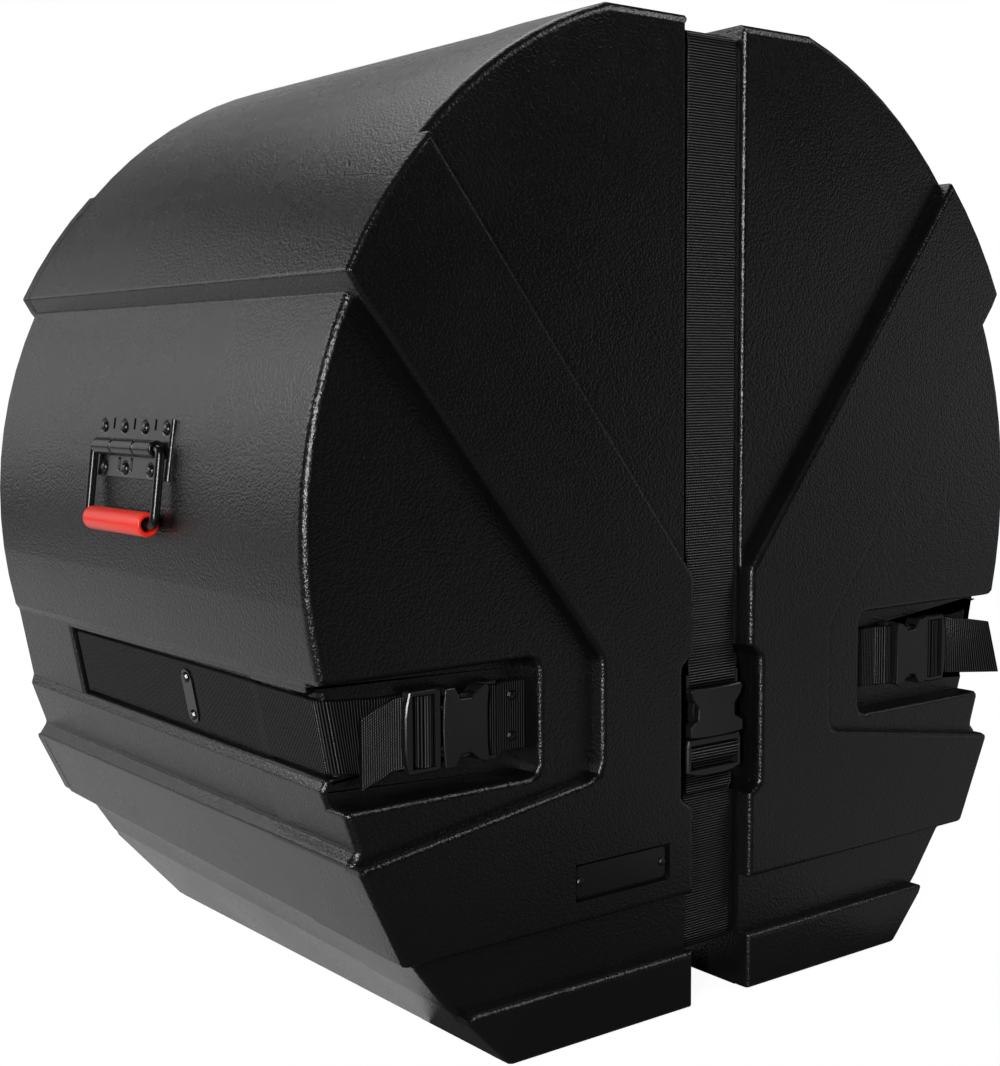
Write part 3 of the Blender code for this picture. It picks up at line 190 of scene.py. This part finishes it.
# Steel with black electrocoat: a thin wet-looking paint with a slight orange peel.
coatedLook = {
    "name": "electrocoatedSteel",
    "refraction": 1.52,
    "colour": "#0d0d0e",
    "roughness": (0.20, 0.30),
    "marks": 700.0,
    "detail": 1.0,
    "relief": (0.12, 0.0002),
}


def smoothBlack(look):
    material, tree, surface = newMaterial(look["name"], IOR=look["refraction"],
                                          Base_Color=linear(look["colour"]))
    marks = addNode(tree, "ShaderNodeTexNoise", {"Vector": objectPlace(tree)},
                    Scale=look["marks"], Detail=look["detail"])
    spread(tree, marks.outputs["Fac"], look["roughness"], surface.inputs["Roughness"])
    emboss(tree, marks.outputs["Fac"], look["relief"], surface)
    return material


# Dipped vinyl of the grips: bright red with a soft gloss, a little duller in places.
vinylLook = {
    "colour": "#f0301a",
    "dull": "#e22a17",
    "roughness": 0.36,
    "marks": 220.0,
    "relief": (0.1, 0.0003),
}


def redVinyl():
    look = vinylLook
    material, tree, surface = newMaterial("redVinyl", IOR=1.5, Roughness=look["roughness"])
    cloud = addNode(tree, "ShaderNodeTexNoise", {"Vector": objectPlace(tree)},
                    Scale=look["marks"], Detail=2.0)
    mixColour(tree, cloud.outputs["Fac"], look["colour"], look["dull"],
              surface.inputs["Base Color"])
    emboss(tree, cloud.outputs["Fac"], look["relief"], surface)
    return material


# Open cell polyurethane foam: charcoal, full of small pores, no gloss. The pores are painted
# darker, as painted shade in their hollows.
foamLook = {
    "colour": "#3a3a3c",
    # painted shade in the pores' hollows
    "paintedPoreShade": "#19191b",
    "roughness": 0.95,
    "cell": 0.0022,
    "relief": (0.8, 0.0006),
}


def charcoalFoam():
    look = foamLook
    material, tree, surface = newMaterial("charcoalFoam", Roughness=look["roughness"])
    cells = addNode(tree, "ShaderNodeTexVoronoi", {"Vector": objectPlace(tree)},
                    Scale=1 / look["cell"])
    # the cells' hollows, where the bump sinks, are painted darker as painted shade
    mixColour(tree, cells.outputs["Distance"], look["paintedPoreShade"], look["colour"],
              surface.inputs["Base Color"])
    emboss(tree, cells.outputs["Distance"], look["relief"], surface)
    return material


polyethylene = mouldedPolyethylene()
webbing = wovenWebbing()
acetal = smoothBlack(acetalLook)
coated = smoothBlack(coatedLook)
vinyl = redVinyl()
foam = charcoalFoam()
print("materials made")


def newPiece(name, bm, material):
    mesh = bpy.data.meshes.new(name)
    bm.to_mesh(mesh)
    bm.free()
    mesh.materials.append(material)
    piece = bpy.data.objects.new(name, mesh)
    bpy.context.scene.collection.objects.link(piece)
    return piece


def smoothPiece(name, bm, material, sharpFrom=40):
    # smooth shading, broken at edges that turn by more than sharpFrom degrees
    piece = newPiece(name, bm, material)
    piece.data.shade_smooth()
    piece.data.set_sharp_from_angle(angle=radians(sharpFrom))
    return piece


# How a CAD piece is taken over: its triangles are joined into flat faces where they turn by
# less than "flat" degrees, and its edges are broken where they turn by more than "brokenFrom"
copySettings = {"merge": 0.00002, "flat": 1.0, "sharpFrom": 35, "brokenFrom": 28, "weight": 100}


def mergedCopy(node):
    bm = bmesh.new()
    bm.from_mesh(frame["nodes"][node].data)
    bmesh.ops.remove_doubles(bm, verts=bm.verts, dist=copySettings["merge"])
    bmesh.ops.dissolve_limit(bm, angle_limit=radians(copySettings["flat"]), verts=bm.verts,
                             edges=bm.edges)
    return bm


def softCopy(node, material, body, edge, steps, reshape=None):
    # the CAD piece with its edges broken, as a moulding or a stamping has them
    bm = mergedCopy(node)
    if reshape:
        reshape(bm)
    piece = smoothPiece(node + "Skin", bm, material, copySettings["sharpFrom"])
    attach(piece, body)
    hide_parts(node)
    broken = piece.modifiers.new("brokenEdges", "BEVEL")
    broken.width = edge
    broken.segments = steps
    broken.limit_method = "ANGLE"
    broken.angle_limit = radians(copySettings["brokenFrom"])
    broken.miter_outer = "MITER_ARC"
    level = piece.modifiers.new("flatFaces", "WEIGHTED_NORMAL")
    level.keep_sharp = True
    level.weight = copySettings["weight"]


def cutAcross(bm, point, normal):
    bmesh.ops.bisect_plane(bm, geom=bm.verts[:] + bm.edges[:] + bm.faces[:], dist=0.00001,
                           plane_co=point, plane_no=normal)


bodyOf = {node: body for body, nodes in frame["record"]["behaviour"]["bodies"].items()
          for node in nodes}

# The shells. The mould rounds the mouths of the pockets and strap channels: each is a box
# round the sharp edges, as |x|, y and z from and to, with the radius. The edges of the long
# channel are cut at two levels, where the rounding starts and ends.
shellLook = {
    "cuts": (0.3192, 0.7034),
    "mouths": (
        ((0.0283, 0.0287), (-0.2345, -0.2335), (0.3190, 0.7036), 0.0042),
        ((0.1630, 0.3345), (-0.2345, -0.2050), (0.1900, 0.2730), 0.0045),
        ((0.3120, 0.3345), (-0.2300, 0.1390), (0.2070, 0.2660), 0.0030),
        ((0.0280, 0.0300), (-0.2280, 0.1390), (0.7080, 0.7105), 0.0040),
        ((0.0280, 0.0300), (-0.2280, 0.2330), (-0.0005, 0.0005), 0.0040),
    ),
    "mouthSteps": 3,
    "mouthFrom": 58,         # degrees, so that only the sharp edges are rounded
    "seam": -0.1412,         # the edge of the lid's mouth stays sharp
    "seamReach": 0.0004,
    "broadFace": 0.0012,     # square metres
    "broadTurn": 7,          # degrees over which broad faces share their shading
    "narrowTurn": 40,        # and over which a narrow one takes it from a broad one
}


def onSeam(edge):
    return all(abs(v.co.y - shellLook["seam"]) < shellLook["seamReach"] for v in edge.verts)


def roundMouth(bm, box, radius):
    inside = {v for v in bm.verts
              if all(low <= value <= high for value, (low, high)
                     in zip((abs(v.co.x), v.co.y, v.co.z), box))}
    sharp = radians(shellLook["mouthFrom"])
    edges = [edge for edge in bm.edges if set(edge.verts) <= inside
             and edge.is_manifold and edge.calc_face_angle_signed() > sharp
             and not onSeam(edge)]
    bmesh.ops.bevel(bm, geom=edges, offset=radius, segments=shellLook["mouthSteps"],
                    affect="EDGES", profile=0.5, material=-1, clamp_overlap=False)


def flatShading(bm):
    # a broad face keeps its own shading and lends it to the rounded edges that meet it
    bm.normal_update()
    normals = []
    for face in bm.faces:
        face.smooth = True
        broad = face.calc_area() > shellLook["broadFace"]
        reach = cos(radians(shellLook["broadTurn" if broad else "narrowTurn"]))
        for loop in face.loops:
            near = [other for other in loop.vert.link_faces
                    if face.normal.dot(other.normal) > reach]
            wide = [other for other in near if other.calc_area() > shellLook["broadFace"]]
            total = sum((other.normal * other.calc_area() for other in wide or near), Vector())
            normals.append(total.normalized())
    return normals


def shellSkin(node):
    bm = mergedCopy(node)
    for level in shellLook["cuts"]:
        cutAcross(bm, (0, 0, level), (0, 0, 1))
    for *box, radius in shellLook["mouths"]:
        roundMouth(bm, box, radius)
    normals = flatShading(bm)
    piece = newPiece(node + "Skin", bm, polyethylene)
    piece.data.normals_split_custom_set(normals)
    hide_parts(node)
    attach(piece, bodyOf[node])


for node in ("rear_shell", "front_shell"):
    shellSkin(node)
print("shells done")

# The small parts that keep their CAD shape: words in a node's name, its material, the width
# of its broken edges and the steps across them
hardwareLook = (
    (("foam",), foam, 0.002, 2),
    (("arm", "plug"), acetal, 0.0012, 3),
    (("anchor", "backing", "badge"), coated, 0.0003, 2),
)

for node in bodyOf:
    for words, material, edge, steps in hardwareLook:
        if any(word in node for word in words):
            softCopy(node, material, bodyOf[node], edge, steps)
            break
print("hardware done")


def turnedSkin(name, profile, material, place, steps):
    # a profile of radius and height turned round the place's third axis
    bm = bmesh.new()
    verts = [bm.verts.new((radius, 0, height)) for radius, height in profile]
    edges = [bm.edges.new(pair) for pair in zip(verts, verts[1:])]
    bmesh.ops.spin(bm, geom=verts + edges, cent=(0, 0, 0), axis=(0, 0, 1), angle=2 * pi,
                   steps=steps, use_duplicate=False)
    bmesh.ops.remove_doubles(bm, verts=bm.verts, dist=0.000005)
    bmesh.ops.recalc_face_normals(bm, faces=bm.faces)
    bm.transform(place)
    if place.determinant() < 0:
        bmesh.ops.reverse_faces(bm, faces=bm.faces)
    return smoothPiece(name, bm, material)


def faceOut(bm):
    # a mirrored frame turns a closed mesh inside out
    if bm.calc_volume(signed=True) < 0:
        bmesh.ops.reverse_faces(bm, faces=bm.faces)


def basis(origin, first, second, third):
    turn = Matrix((first, second, third)).transposed().to_4x4()
    turn.translation = origin
    return turn


# The drop handles: a stamped plate with a barrel on it, a wire bail and a dipped grip. On
# the plate the first axis runs to the rear, the second up the wall, the third out of it.
handleLook = {
    "length": 0.113,
    "height": 0.042,
    "thickness": 0.0018,
    "sheetShare": 0.8,               # of the thickness, so that the plate stands proud
    "cell": 0.001,
    "slots": (-0.032, 0.0, 0.032),
    "slotHalf": 0.0015,
    "slotFoot": 0.013,
    "seat": 0.0062,
    "seatDepth": 0.0007,
    "seatWall": 2.4,                 # how steep the seat's wall is
    "grooves": (-0.0015, 0.0175),    # beside the middle lower rivet
    "grooveHalf": 0.0012,
    "grooveReach": (-0.0170, -0.0070),
    "grooveDepth": 0.0010,
    "roll": 0.0022,                  # the front edge is rolled down to the wall
    "rollShare": 0.8,
    "rivets": ((-0.048, 0.0145), (-0.016, 0.0145), (0.016, 0.0145), (0.048, 0.0145),
               (-0.031, -0.0150), (0.008, -0.0150), (0.041, -0.0150)),
    "rivetRadius": 0.0043,
    "rivetDome": 0.0029,
    "rivetSteps": 28,
    "barrelRadius": 0.0061,
    "barrelLevel": 0.0062,
    "joints": (-0.0460, -0.0190, 0.0160, 0.0460),
    "knuckleEdge": 0.0016,
    "knuckleGap": 0.0002,
    "knuckleSteps": 36,
    "boreGap": 0.0006,
    "boreReach": 0.004,
    "wire": 0.0034,
    "wireEnd": 0.036,                # inside the barrel
    "legs": 0.0515,
    "legBends": (0.006, 0.007),      # at the barrel and at the grip
    "low": (-0.0519, 0.0049),        # the grip's axis, down the plate and out of it
    "gripLength": 0.088,
    "gripRadius": 0.0086,
    "gripBore": 0.0050,
    "gripSteps": 40,
}


def handleFrame(side):
    return basis((side * 0.3432, -0.0045, 0.4106), (0, 1, 0), (-side * 0.1486, 0, 0.9889),
                 (side * 0.9889, 0, 0.1486))


def plateSunk(spot):
    # how far the plate is pressed in, at the rivets' seats and in the two grooves
    look = handleLook
    low, high = look["grooveReach"]
    if low <= spot.y <= high and any(abs(spot.x - u) < look["grooveHalf"]
                                     for u in look["grooves"]):
        return look["grooveDepth"]
    sunk = 0.0
    for u, at in look["rivets"]:
        away = Vector((spot.x - u, spot.y - at)).length / look["seat"]
        sunk = max(sunk, look["seatDepth"] * max(0.0, min(1.0, look["seatWall"] * (1 - away))))
    return sunk


def stampedPlate(name, side):
    look = handleLook
    long, tall = round(look["length"] / look["cell"]), round(look["height"] / look["cell"])
    bm = bmesh.new()
    bmesh.ops.create_grid(bm, x_segments=long, y_segments=tall, size=0.5)
    for v in bm.verts:
        v.co.x *= look["length"]
        v.co.y *= look["height"]
    slots = [face for face in bm.faces
             if face.calc_center_median().y > look["slotFoot"]
             and any(abs(face.calc_center_median().x - slot) < look["slotHalf"]
                     for slot in look["slots"])]
    bmesh.ops.delete(bm, geom=slots, context="FACES")
    for v in bm.verts:
        roll = max(0.0, 1 - (v.co.x + look["length"] / 2) / look["roll"])
        fall = look["roll"] * look["rollShare"] * roll ** 2
        v.co.z = look["thickness"] - plateSunk(v.co) - fall
    bmesh.ops.solidify(bm, geom=bm.faces[:],
                       thickness=look["thickness"] * look["sheetShare"])
    bmesh.ops.recalc_face_normals(bm, faces=bm.faces)
    bm.transform(handleFrame(side))
    faceOut(bm)
    plate = smoothPiece(name + "HandlePlate", bm, coated)
    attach(plate, "case")
    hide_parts(name + "_handle_plate")


def handleBarrel(name, side):
    # three knuckles with rounded ends, end to end round the bail's wire
    look = handleLook
    axis = basis((0, 0, look["barrelLevel"]), (0, 1, 0), (0, 0, 1), (1, 0, 0))
    r, bore = look["barrelRadius"], look["wire"] + look["boreGap"]
    soft, gap, inward = look["knuckleEdge"], look["knuckleGap"], look["boreReach"]
    turn = [(r - soft + soft * sin(a), soft - soft * cos(a) + gap)
            for a in (radians(18 * k) for k in range(6))] + [(r, 2 * soft)]
    for k, (start, end) in enumerate(zip(look["joints"], look["joints"][1:])):
        profile = [(bore, start + inward), (bore, start + gap)]
        profile += [(radius, start + reach) for radius, reach in turn]
        profile += [(radius, end - reach) for radius, reach in turn[::-1]]
        profile += [(bore, end - gap), (bore, end - inward)]
        piece = turnedSkin(f"{name}HandleKnuckle{k + 1}", profile, coated,
                           handleFrame(side) @ axis, look["knuckleSteps"])
        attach(piece, "case")


def handleGrip(name, side):
    # a tube with round rims
    look = handleLook
    axis = basis((0, *look["low"]), (0, 1, 0), (0, 0, 1), (1, 0, 0))
    half, r, bore = look["gripLength"] / 2, look["gripRadius"], look["gripBore"]
    rim = (r - bore) / 2
    end = [(bore + rim - rim * cos(a), half - rim + rim * sin(a))
           for a in (radians(20 * k) for k in range(10))]
    profile = [(bore, -half + rim)] + end + [(radius, -height) for radius, height in end[::-1]]
    grip = turnedSkin(name + "HandleGrip", profile, vinyl, handleFrame(side) @ axis,
                      look["gripSteps"])
    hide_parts(name + "_handle_grip")
    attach(grip, name + "_handle")


def handleRivets(name, side):
    look = handleLook
    dome = [(look["rivetRadius"] * cos(a), look["rivetDome"] * sin(a))
            for a in (radians(10 * k) for k in range(10))]
    for k, (u, v) in enumerate(look["rivets"]):
        spot = Matrix.Translation((u, v, look["thickness"] - look["seatDepth"]))
        rivet = turnedSkin(f"{name}HandleRivet{k + 1}", dome, coated,
                           handleFrame(side) @ spot, look["rivetSteps"])
        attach(rivet, "case")


for name, side in (("left", -1), ("right", 1)):
    stampedPlate(name, side)
    handleBarrel(name, side)
    handleGrip(name, side)
    handleRivets(name, side)
print("handles done")


def bentPath(corners, step, bendCuts=12, most=0.49):
    # corners hold a point and the radius of its bend; a bend takes at most that share of the
    # stretches beside it, so that two never meet, and the answer is evenly spaced
    corners = [(Vector(point), radius) for point, radius in corners]
    dense = [corners[0][0]]
    for (before, _), (here, radius), (after, _) in zip(corners, corners[1:], corners[2:]):
        arriving, leaving = (here - before).normalized(), (after - here).normalized()
        reach = min(radius * tan(arriving.angle(leaving, 0.0) / 2),
                    most * (here - before).length, most * (after - here).length)
        start, end = here - arriving * reach, here + leaving * reach
        for k in range(bendCuts + 1):
            share = k / bendCuts
            dense.append(start.lerp(here, share).lerp(here.lerp(end, share), share))
    dense.append(corners[-1][0])
    gaps = [(b - a).length for a, b in zip(dense, dense[1:])]
    count = max(2, round(sum(gaps) / step))
    points, walked, at = [], 0.0, 0
    for k in range(count + 1):
        target = sum(gaps) * k / count
        while at < len(gaps) - 1 and walked + gaps[at] < target:
            walked += gaps[at]
            at += 1
        share = (target - walked) / max(gaps[at], 1e-9)
        points.append(dense[at].lerp(dense[at + 1], min(1.0, share)))
    return points


def closeTube(bm, merge):
    # the grid's two long sides meet in a seam and its two ends are capped
    bmesh.ops.remove_doubles(bm, verts=bm.verts, dist=merge)
    bmesh.ops.holes_fill(bm, edges=[edge for edge in bm.edges if edge.is_boundary])
    bmesh.ops.recalc_face_normals(bm, faces=bm.faces)


def bentWire(name, corners, radius, material, place, around=20):
    # a round wire along a bent path
    path = bentPath(corners, radius / 3)
    last = len(path) - 1
    bm = bmesh.new()
    bmesh.ops.create_grid(bm, x_segments=last, y_segments=around, size=0.5)
    side = (path[1] - path[0]).orthogonal().normalized()
    frames = []
    for i in range(last + 1):
        ahead = (path[min(last, i + 1)] - path[max(0, i - 1)]).normalized()
        side = (side - ahead * side.dot(ahead)).normalized()
        frames.append((side, ahead.cross(side)))
    for v in bm.verts:
        i, angle = round((v.co.x + 0.5) * last), 2 * pi * (v.co.y + 0.5)
        side, up = frames[i]
        v.co = path[i] + radius * (side * cos(angle) + up * sin(angle))
    closeTube(bm, 0.000005)
    bm.transform(place)
    faceOut(bm)
    return smoothPiece(name, bm, material)


# The straps: flat webbing laid along a bent path, with its ribs as real ridges
strapLook = {
    "width": 0.049,
    "loopWidth": 0.0475,     # squeezed between the rails of a buckle
    "thickness": 0.0020,
    "ribHeight": 0.00026,
    "rows": 6,               # faces across each side
    "flat": 0.488,           # half the flat's share of the width, between the selvedges
    "bend": 0.0094,
    "sharpFrom": 50,
}


def layWebbing(name, corners, across, width, place=None):
    # a grid wrapped round the strap's section; across gives the width's direction
    step = webbingLook["ribPitch"] / 4
    path = bentPath(corners, step)
    last, rows, flat = len(path) - 1, strapLook["rows"], strapLook["flat"]
    half = [(-flat + 2 * flat * k / rows, 1) for k in range(rows + 1)]
    section = half + [(0.5, 0)] + [(share, -1) for share, _ in reversed(half)] + [(-0.5, 0)]
    sides = [across(point).normalized() for point in path]
    ups = [(path[min(last, i + 1)] - path[max(0, i - 1)]).cross(sides[i]).normalized()
           for i in range(last + 1)]
    bm = bmesh.new()
    bmesh.ops.create_grid(bm, x_segments=last, y_segments=len(section), size=0.5)
    spots = {v: (round((v.co.x + 0.5) * last), round((v.co.y + 0.5) * len(section)))
             for v in bm.verts}
    layer = bm.loops.layers.uv.new("weave")
    for face in bm.faces:
        for loop in face.loops:
            i, k = spots[loop.vert]
            loop[layer].uv = (section[k % len(section)][0] * width, i * step)
    for v, (i, k) in spots.items():
        share, face = section[k % len(section)]
        level = strapLook["thickness"] / 2 + strapLook["ribHeight"] * cos(pi * i / 2)
        v.co = path[i] + sides[i] * share * width + ups[i] * face * level
    closeTube(bm, 0.000001)
    if place:
        bm.transform(place)
    faceOut(bm)
    return smoothPiece(name, bm, webbing, strapLook["sharpFrom"])


def crossLid(strap, name):
    # the rear of a strap stays on the case and its front comes off with the lid
    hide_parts(name + "_strap_rear", name + "_strap_bridge", name + "_strap_front")
    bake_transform(strap)


# The middle of each buckle's mouth, with the axis into its socket and the one across it
buckleMouths = {
    "left": ((-0.2385, -0.2159, 0.2315), (1, 0, 0), (0, 0, 1)),
    "right": ((0.2560, -0.2159, 0.2315), (-1, 0, 0), (0, 0, 1)),
    "centre": ((0, -0.2278, 0.1965), (0, 0, 1), (1, 0, 0)),
}


def buckleFrame(name):
    return basis(*buckleMouths[name], (0, -1, 0))


# The socket of a buckle: its face is hollowed a little and its ends are bowed
socketLook = {
    "half": 0.0265,
    "cuts": 16,
    "face": 0.0105,
    "hollow": 0.0009,
    "bow": 0.0013,
    "edge": 0.0008,
    "edgeSteps": 3,
}


def buckleSocket(name):
    look, place = socketLook, buckleFrame(name)

    def hollowed(bm):
        bm.transform(place.inverted())
        for k in range(1, look["cuts"]):
            cutAcross(bm, (0, look["half"] * (2 * k / look["cuts"] - 1), 0), (0, 1, 0))
        for v in bm.verts:
            share = min(1.0, (v.co.y / look["half"]) ** 2)
            v.co.x += look["bow"] * share
            if v.co.z > look["face"]:
                v.co.z -= look["hollow"] * (1 - share)
        bm.transform(place)

    softCopy(name + "_buckle_socket", acetal, "lid", look["edge"], look["edgeSteps"], hollowed)


for name in buckleMouths:
    buckleSocket(name)
print("sockets done")

# The side straps lie straight in their buckle, and from "level" beyond its mouth to "wall"
# they turn to lean like the case's side
sideStrapLook = {"lean": (0.1888, 0.982), "level": 0.045, "wall": 0.3109, "mouthGap": 0.0015}


def sideStrap(name, side):
    look, mouth = sideStrapLook, abs(buckleFrame(name).translation.x)
    lean, level = Vector((side * look["lean"][0], 0, look["lean"][1])), mouth + look["level"]

    def across(point):
        share = (abs(point.x) - level) / (look["wall"] - level)
        return Vector((0, 0, 1)).lerp(lean, min(1.0, max(0.0, share)))

    corners = [((side * 0.32147, 0.135, 0.23932), 0), ((side * 0.32019, -0.129, 0.23625), 0.02),
               ((side * 0.32131, -0.140, 0.23590), 0.02),
               ((side * 0.32095, -0.2144, 0.23504), strapLook["bend"]),
               ((side * level, -0.2144, 0.2315), 0.02),
               ((side * (mouth + look["mouthGap"]), -0.2144, 0.2315), 0)]
    crossLid(layWebbing(name + "SideStrap", corners, across, strapLook["width"]), name)


def middleStrap(name, corners, width):
    crossLid(layWebbing(name + "MiddleStrap", [((0, y, z), bend) for y, z, bend in corners],
                        lambda point: Vector((1, 0, 0)), width), name)


def socketWebbing(name, end):
    # folded round the socket's bar and riveted down through both layers
    corners = [((end, 0, -0.0015), 0), ((0.0381, 0, -0.0015), 0.0032),
               ((0.0381, 0, 0.0053), 0.0032), ((0.0475, 0, 0.0053), 0.004),
               ((0.0545, 0, 0.0010), 0.006), ((end, 0, 0.0010), 0)]
    strap = layWebbing(name + "SocketWebbing", corners, lambda point: Vector((0, 1, 0)),
                       strapLook["loopWidth"], buckleFrame(name))
    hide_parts(name + "_socket_webbing")
    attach(strap, "lid")


# The right strap's loose end twists as it hangs out of the buckle
tailTwist = {"start": 0.034, "length": 0.043, "slope": 0.34}


def strapTail(name, loose):
    # up over the plug's middle bar, down below its end bar and out
    def across(point):
        turned = (-point.x - tailTwist["start"]) / tailTwist["length"]
        twist = min(1.0, max(0.0, turned)) if name == "right" else 0.0
        return Vector((tailTwist["slope"] * twist, 1.0, 0.0))

    corners = [((-0.008, 0, 0.0017), 0), ((-0.008, 0, 0.0084), 0.0028),
               ((-0.017, 0, 0.0084), 0.0028), ((-0.017, 0, 0.0015), 0.0018)] + loose
    strap = layWebbing(name + "StrapTail", corners, across, strapLook["loopWidth"],
                       buckleFrame(name))
    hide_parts(name + "_strap_tail")
    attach(strap, name + "_plug")


def handleBail(name, side):
    look = handleLook
    legs, level, (down, out) = look["legs"], look["barrelLevel"], look["low"]
    upper, lower = look["legBends"]
    half = [((look["wireEnd"], 0, level), 0), ((legs, 0, level), upper),
            ((legs, down, out), lower)]
    corners = half + [((-x, y, z), bend) for (x, y, z), bend in half[::-1]]
    bail = bentWire(name + "HandleBail", corners, look["wire"], coated, handleFrame(side))
    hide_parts(name + "_handle_bail")
    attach(bail, name + "_handle")


sideStrap("left", -1)
sideStrap("right", 1)
middleStrap("top", [
    (0.135, 0.6992, 0), (-0.129, 0.6992, 0.02), (-0.140, 0.7004, 0.02),
    (-0.2294, 0.7004, strapLook["bend"]), (-0.2294, 0.2645, 0.02), (-0.2331, 0.2460, 0.01),
    (-0.2331, 0.2346, 0.0032), (-0.2263, 0.2346, 0.0032), (-0.2263, 0.2430, 0.003),
    (-0.2287, 0.2485, 0.006), (-0.2260, 0.2575, 0)], strapLook["loopWidth"])
middleStrap("bottom", [
    (-0.2264, 0.1950, 0), (-0.2264, 0.0366, strapLook["bend"]), (-0.140, 0.0366, 0.02),
    (-0.129, 0.0378, 0.02), (0.135, 0.0378, 0)], strapLook["width"])
socketWebbing("left", 0.0735)
socketWebbing("right", 0.0910)
strapTail("left", [((-0.034, 0, 0.0015), 0.02), ((-0.0615, -0.009, 0.0045), 0)])
strapTail("right", [((-0.033, 0, 0.0015), 0.02), ((-0.056, -0.002, 0.0110), 0.03),
                    ((-0.077, -0.004, 0.0205), 0)])
strapTail("centre", [((-0.040, 0, 0.0015), 0)])
handleBail("left", -1)
handleBail("right", 1)
print("straps and bails done")

# A pale studio. The key and the walls behind graze the case's side and top and leave its
# front dark. The strip at the front left draws the bright lines on the rims, the soft lamp
# in front lifts what faces up, and the two at the right light the lid's right half. The two
# panels on the floor light the facets that look down, strongly on the side and weakly on
# the lid's right. The camera sees floor and world white; the case mirrors them almost black.
stageLook = {
    "floor": "#585858",
    "floorRoughness": 0.9,
    "floorDrop": 0.0004,
    "floorGlow": (0.008, 0.95),      # for the case and for the camera
    "world": (0.003, 1.0),
    "lamps": (
        # name, place, aim, size, watts
        ("keyLeft", (-3.2, 2.5, 2.0), (0, 0, 0.4), (0.8, 1.2), 26),
        ("wallBackLeft", (-2.0, 3.1, 1.5), (0, 0, 0.4), (3.0, 2.6), 22),
        ("lightTable", (-0.5, 1.15, 0.0015), (-0.5, 1.15, 1.0), (2.0, 2.6), 9),
        ("stripFrontLeft", (-2.8, -2.2, 1.0), (0, 0, 0.4), (0.2, 2.2), 120),
        ("softFront", (1.6, -1.7, 2.6), (0, 0, 0.4), (1.2, 1.0), 20),
        ("highRight", (3.4, -0.9, 2.3), (0, 0, 0.4), (1.2, 1.2), 2),
        ("wallRight", (3.2, -1.5, 0.5), (0, 0, 0.4), (2.4, 1.0), 3.6),
        ("floorRight", (1.05, -0.87, 0.0015), (1.05, -0.87, 1.0), (1.7, 1.2), 1.2),
        ("softTop", (0.6, 1.8, 3.2), (0, 0, 0.6), (2.5, 2.0), 32),
        ("wallBack", (1.4, 3.4, 1.2), (0, 0, 0.6), (2.4, 1.6), 10),
    ),
}


def seenByCamera(tree):
    return addNode(tree, "ShaderNodeLightPath").outputs["Is Camera Ray"]


def makeFloor():
    bm = bmesh.new()
    bmesh.ops.create_grid(bm, x_segments=1, y_segments=1, size=12.0)
    material, tree, surface = newMaterial(
        "paleFloorPaint", Roughness=stageLook["floorRoughness"],
        Base_Color=linear(stageLook["floor"]), Emission_Color=(1, 1, 1, 1))
    spread(tree, seenByCamera(tree), stageLook["floorGlow"],
           surface.inputs["Emission Strength"])
    floor = newPiece("paleFloor", bm, material)
    floor.location.z = -stageLook["floorDrop"]


def makeWorld():
    world = bpy.data.worlds.new("paleStudio")
    world.use_nodes = True
    tree = world.node_tree
    background = tree.nodes["Background"]
    background.inputs["Color"].default_value = (1, 1, 1, 1)
    spread(tree, seenByCamera(tree), stageLook["world"], background.inputs["Strength"])
    bpy.context.scene.world = world


def makeLamps():
    for name, place, aim, size, watts in stageLook["lamps"]:
        lamp = bpy.data.lights.new(name, "AREA")
        lamp.shape = "RECTANGLE"
        lamp.size, lamp.size_y = size
        lamp.energy = watts
        item = bpy.data.objects.new(name, lamp)
        item.location = place
        item.rotation_euler = (Vector(aim) - item.location).to_track_quat("-Z", "Y").to_euler()
        item.visible_camera = False
        bpy.context.scene.collection.objects.link(item)


# The photograph's viewpoint, worked out from the case's own edges
cameraLook = {
    "place": (-0.8866, -1.1108, 0.4631),
    "turn": (38.176, -5.399, -0.340),    # yaw, pitch and roll in degrees
    "lens": 57.86,
    "sensor": 36.0,
}


def makeCamera():
    yaw, pitch, roll = (radians(angle) for angle in cameraLook["turn"])
    ahead = Vector((sin(yaw) * cos(pitch), cos(yaw) * cos(pitch), sin(pitch)))
    right = ahead.cross(Vector((0, 0, 1))).normalized()
    up = right.cross(ahead)
    right, up = right * cos(roll) + up * sin(roll), up * cos(roll) - right * sin(roll)
    lens = bpy.data.cameras.new("photoCamera")
    lens.lens = cameraLook["lens"]
    lens.sensor_width = cameraLook["sensor"]
    camera = bpy.data.objects.new("photoCamera", lens)
    camera.matrix_world = basis(Vector(cameraLook["place"]), right, up, -ahead)
    bpy.context.scene.collection.objects.link(camera)
    bpy.context.scene.camera = camera


makeFloor()
makeWorld()
makeLamps()
makeCamera()
bpy.context.scene.view_settings.view_transform = "Standard"
print("stage set")
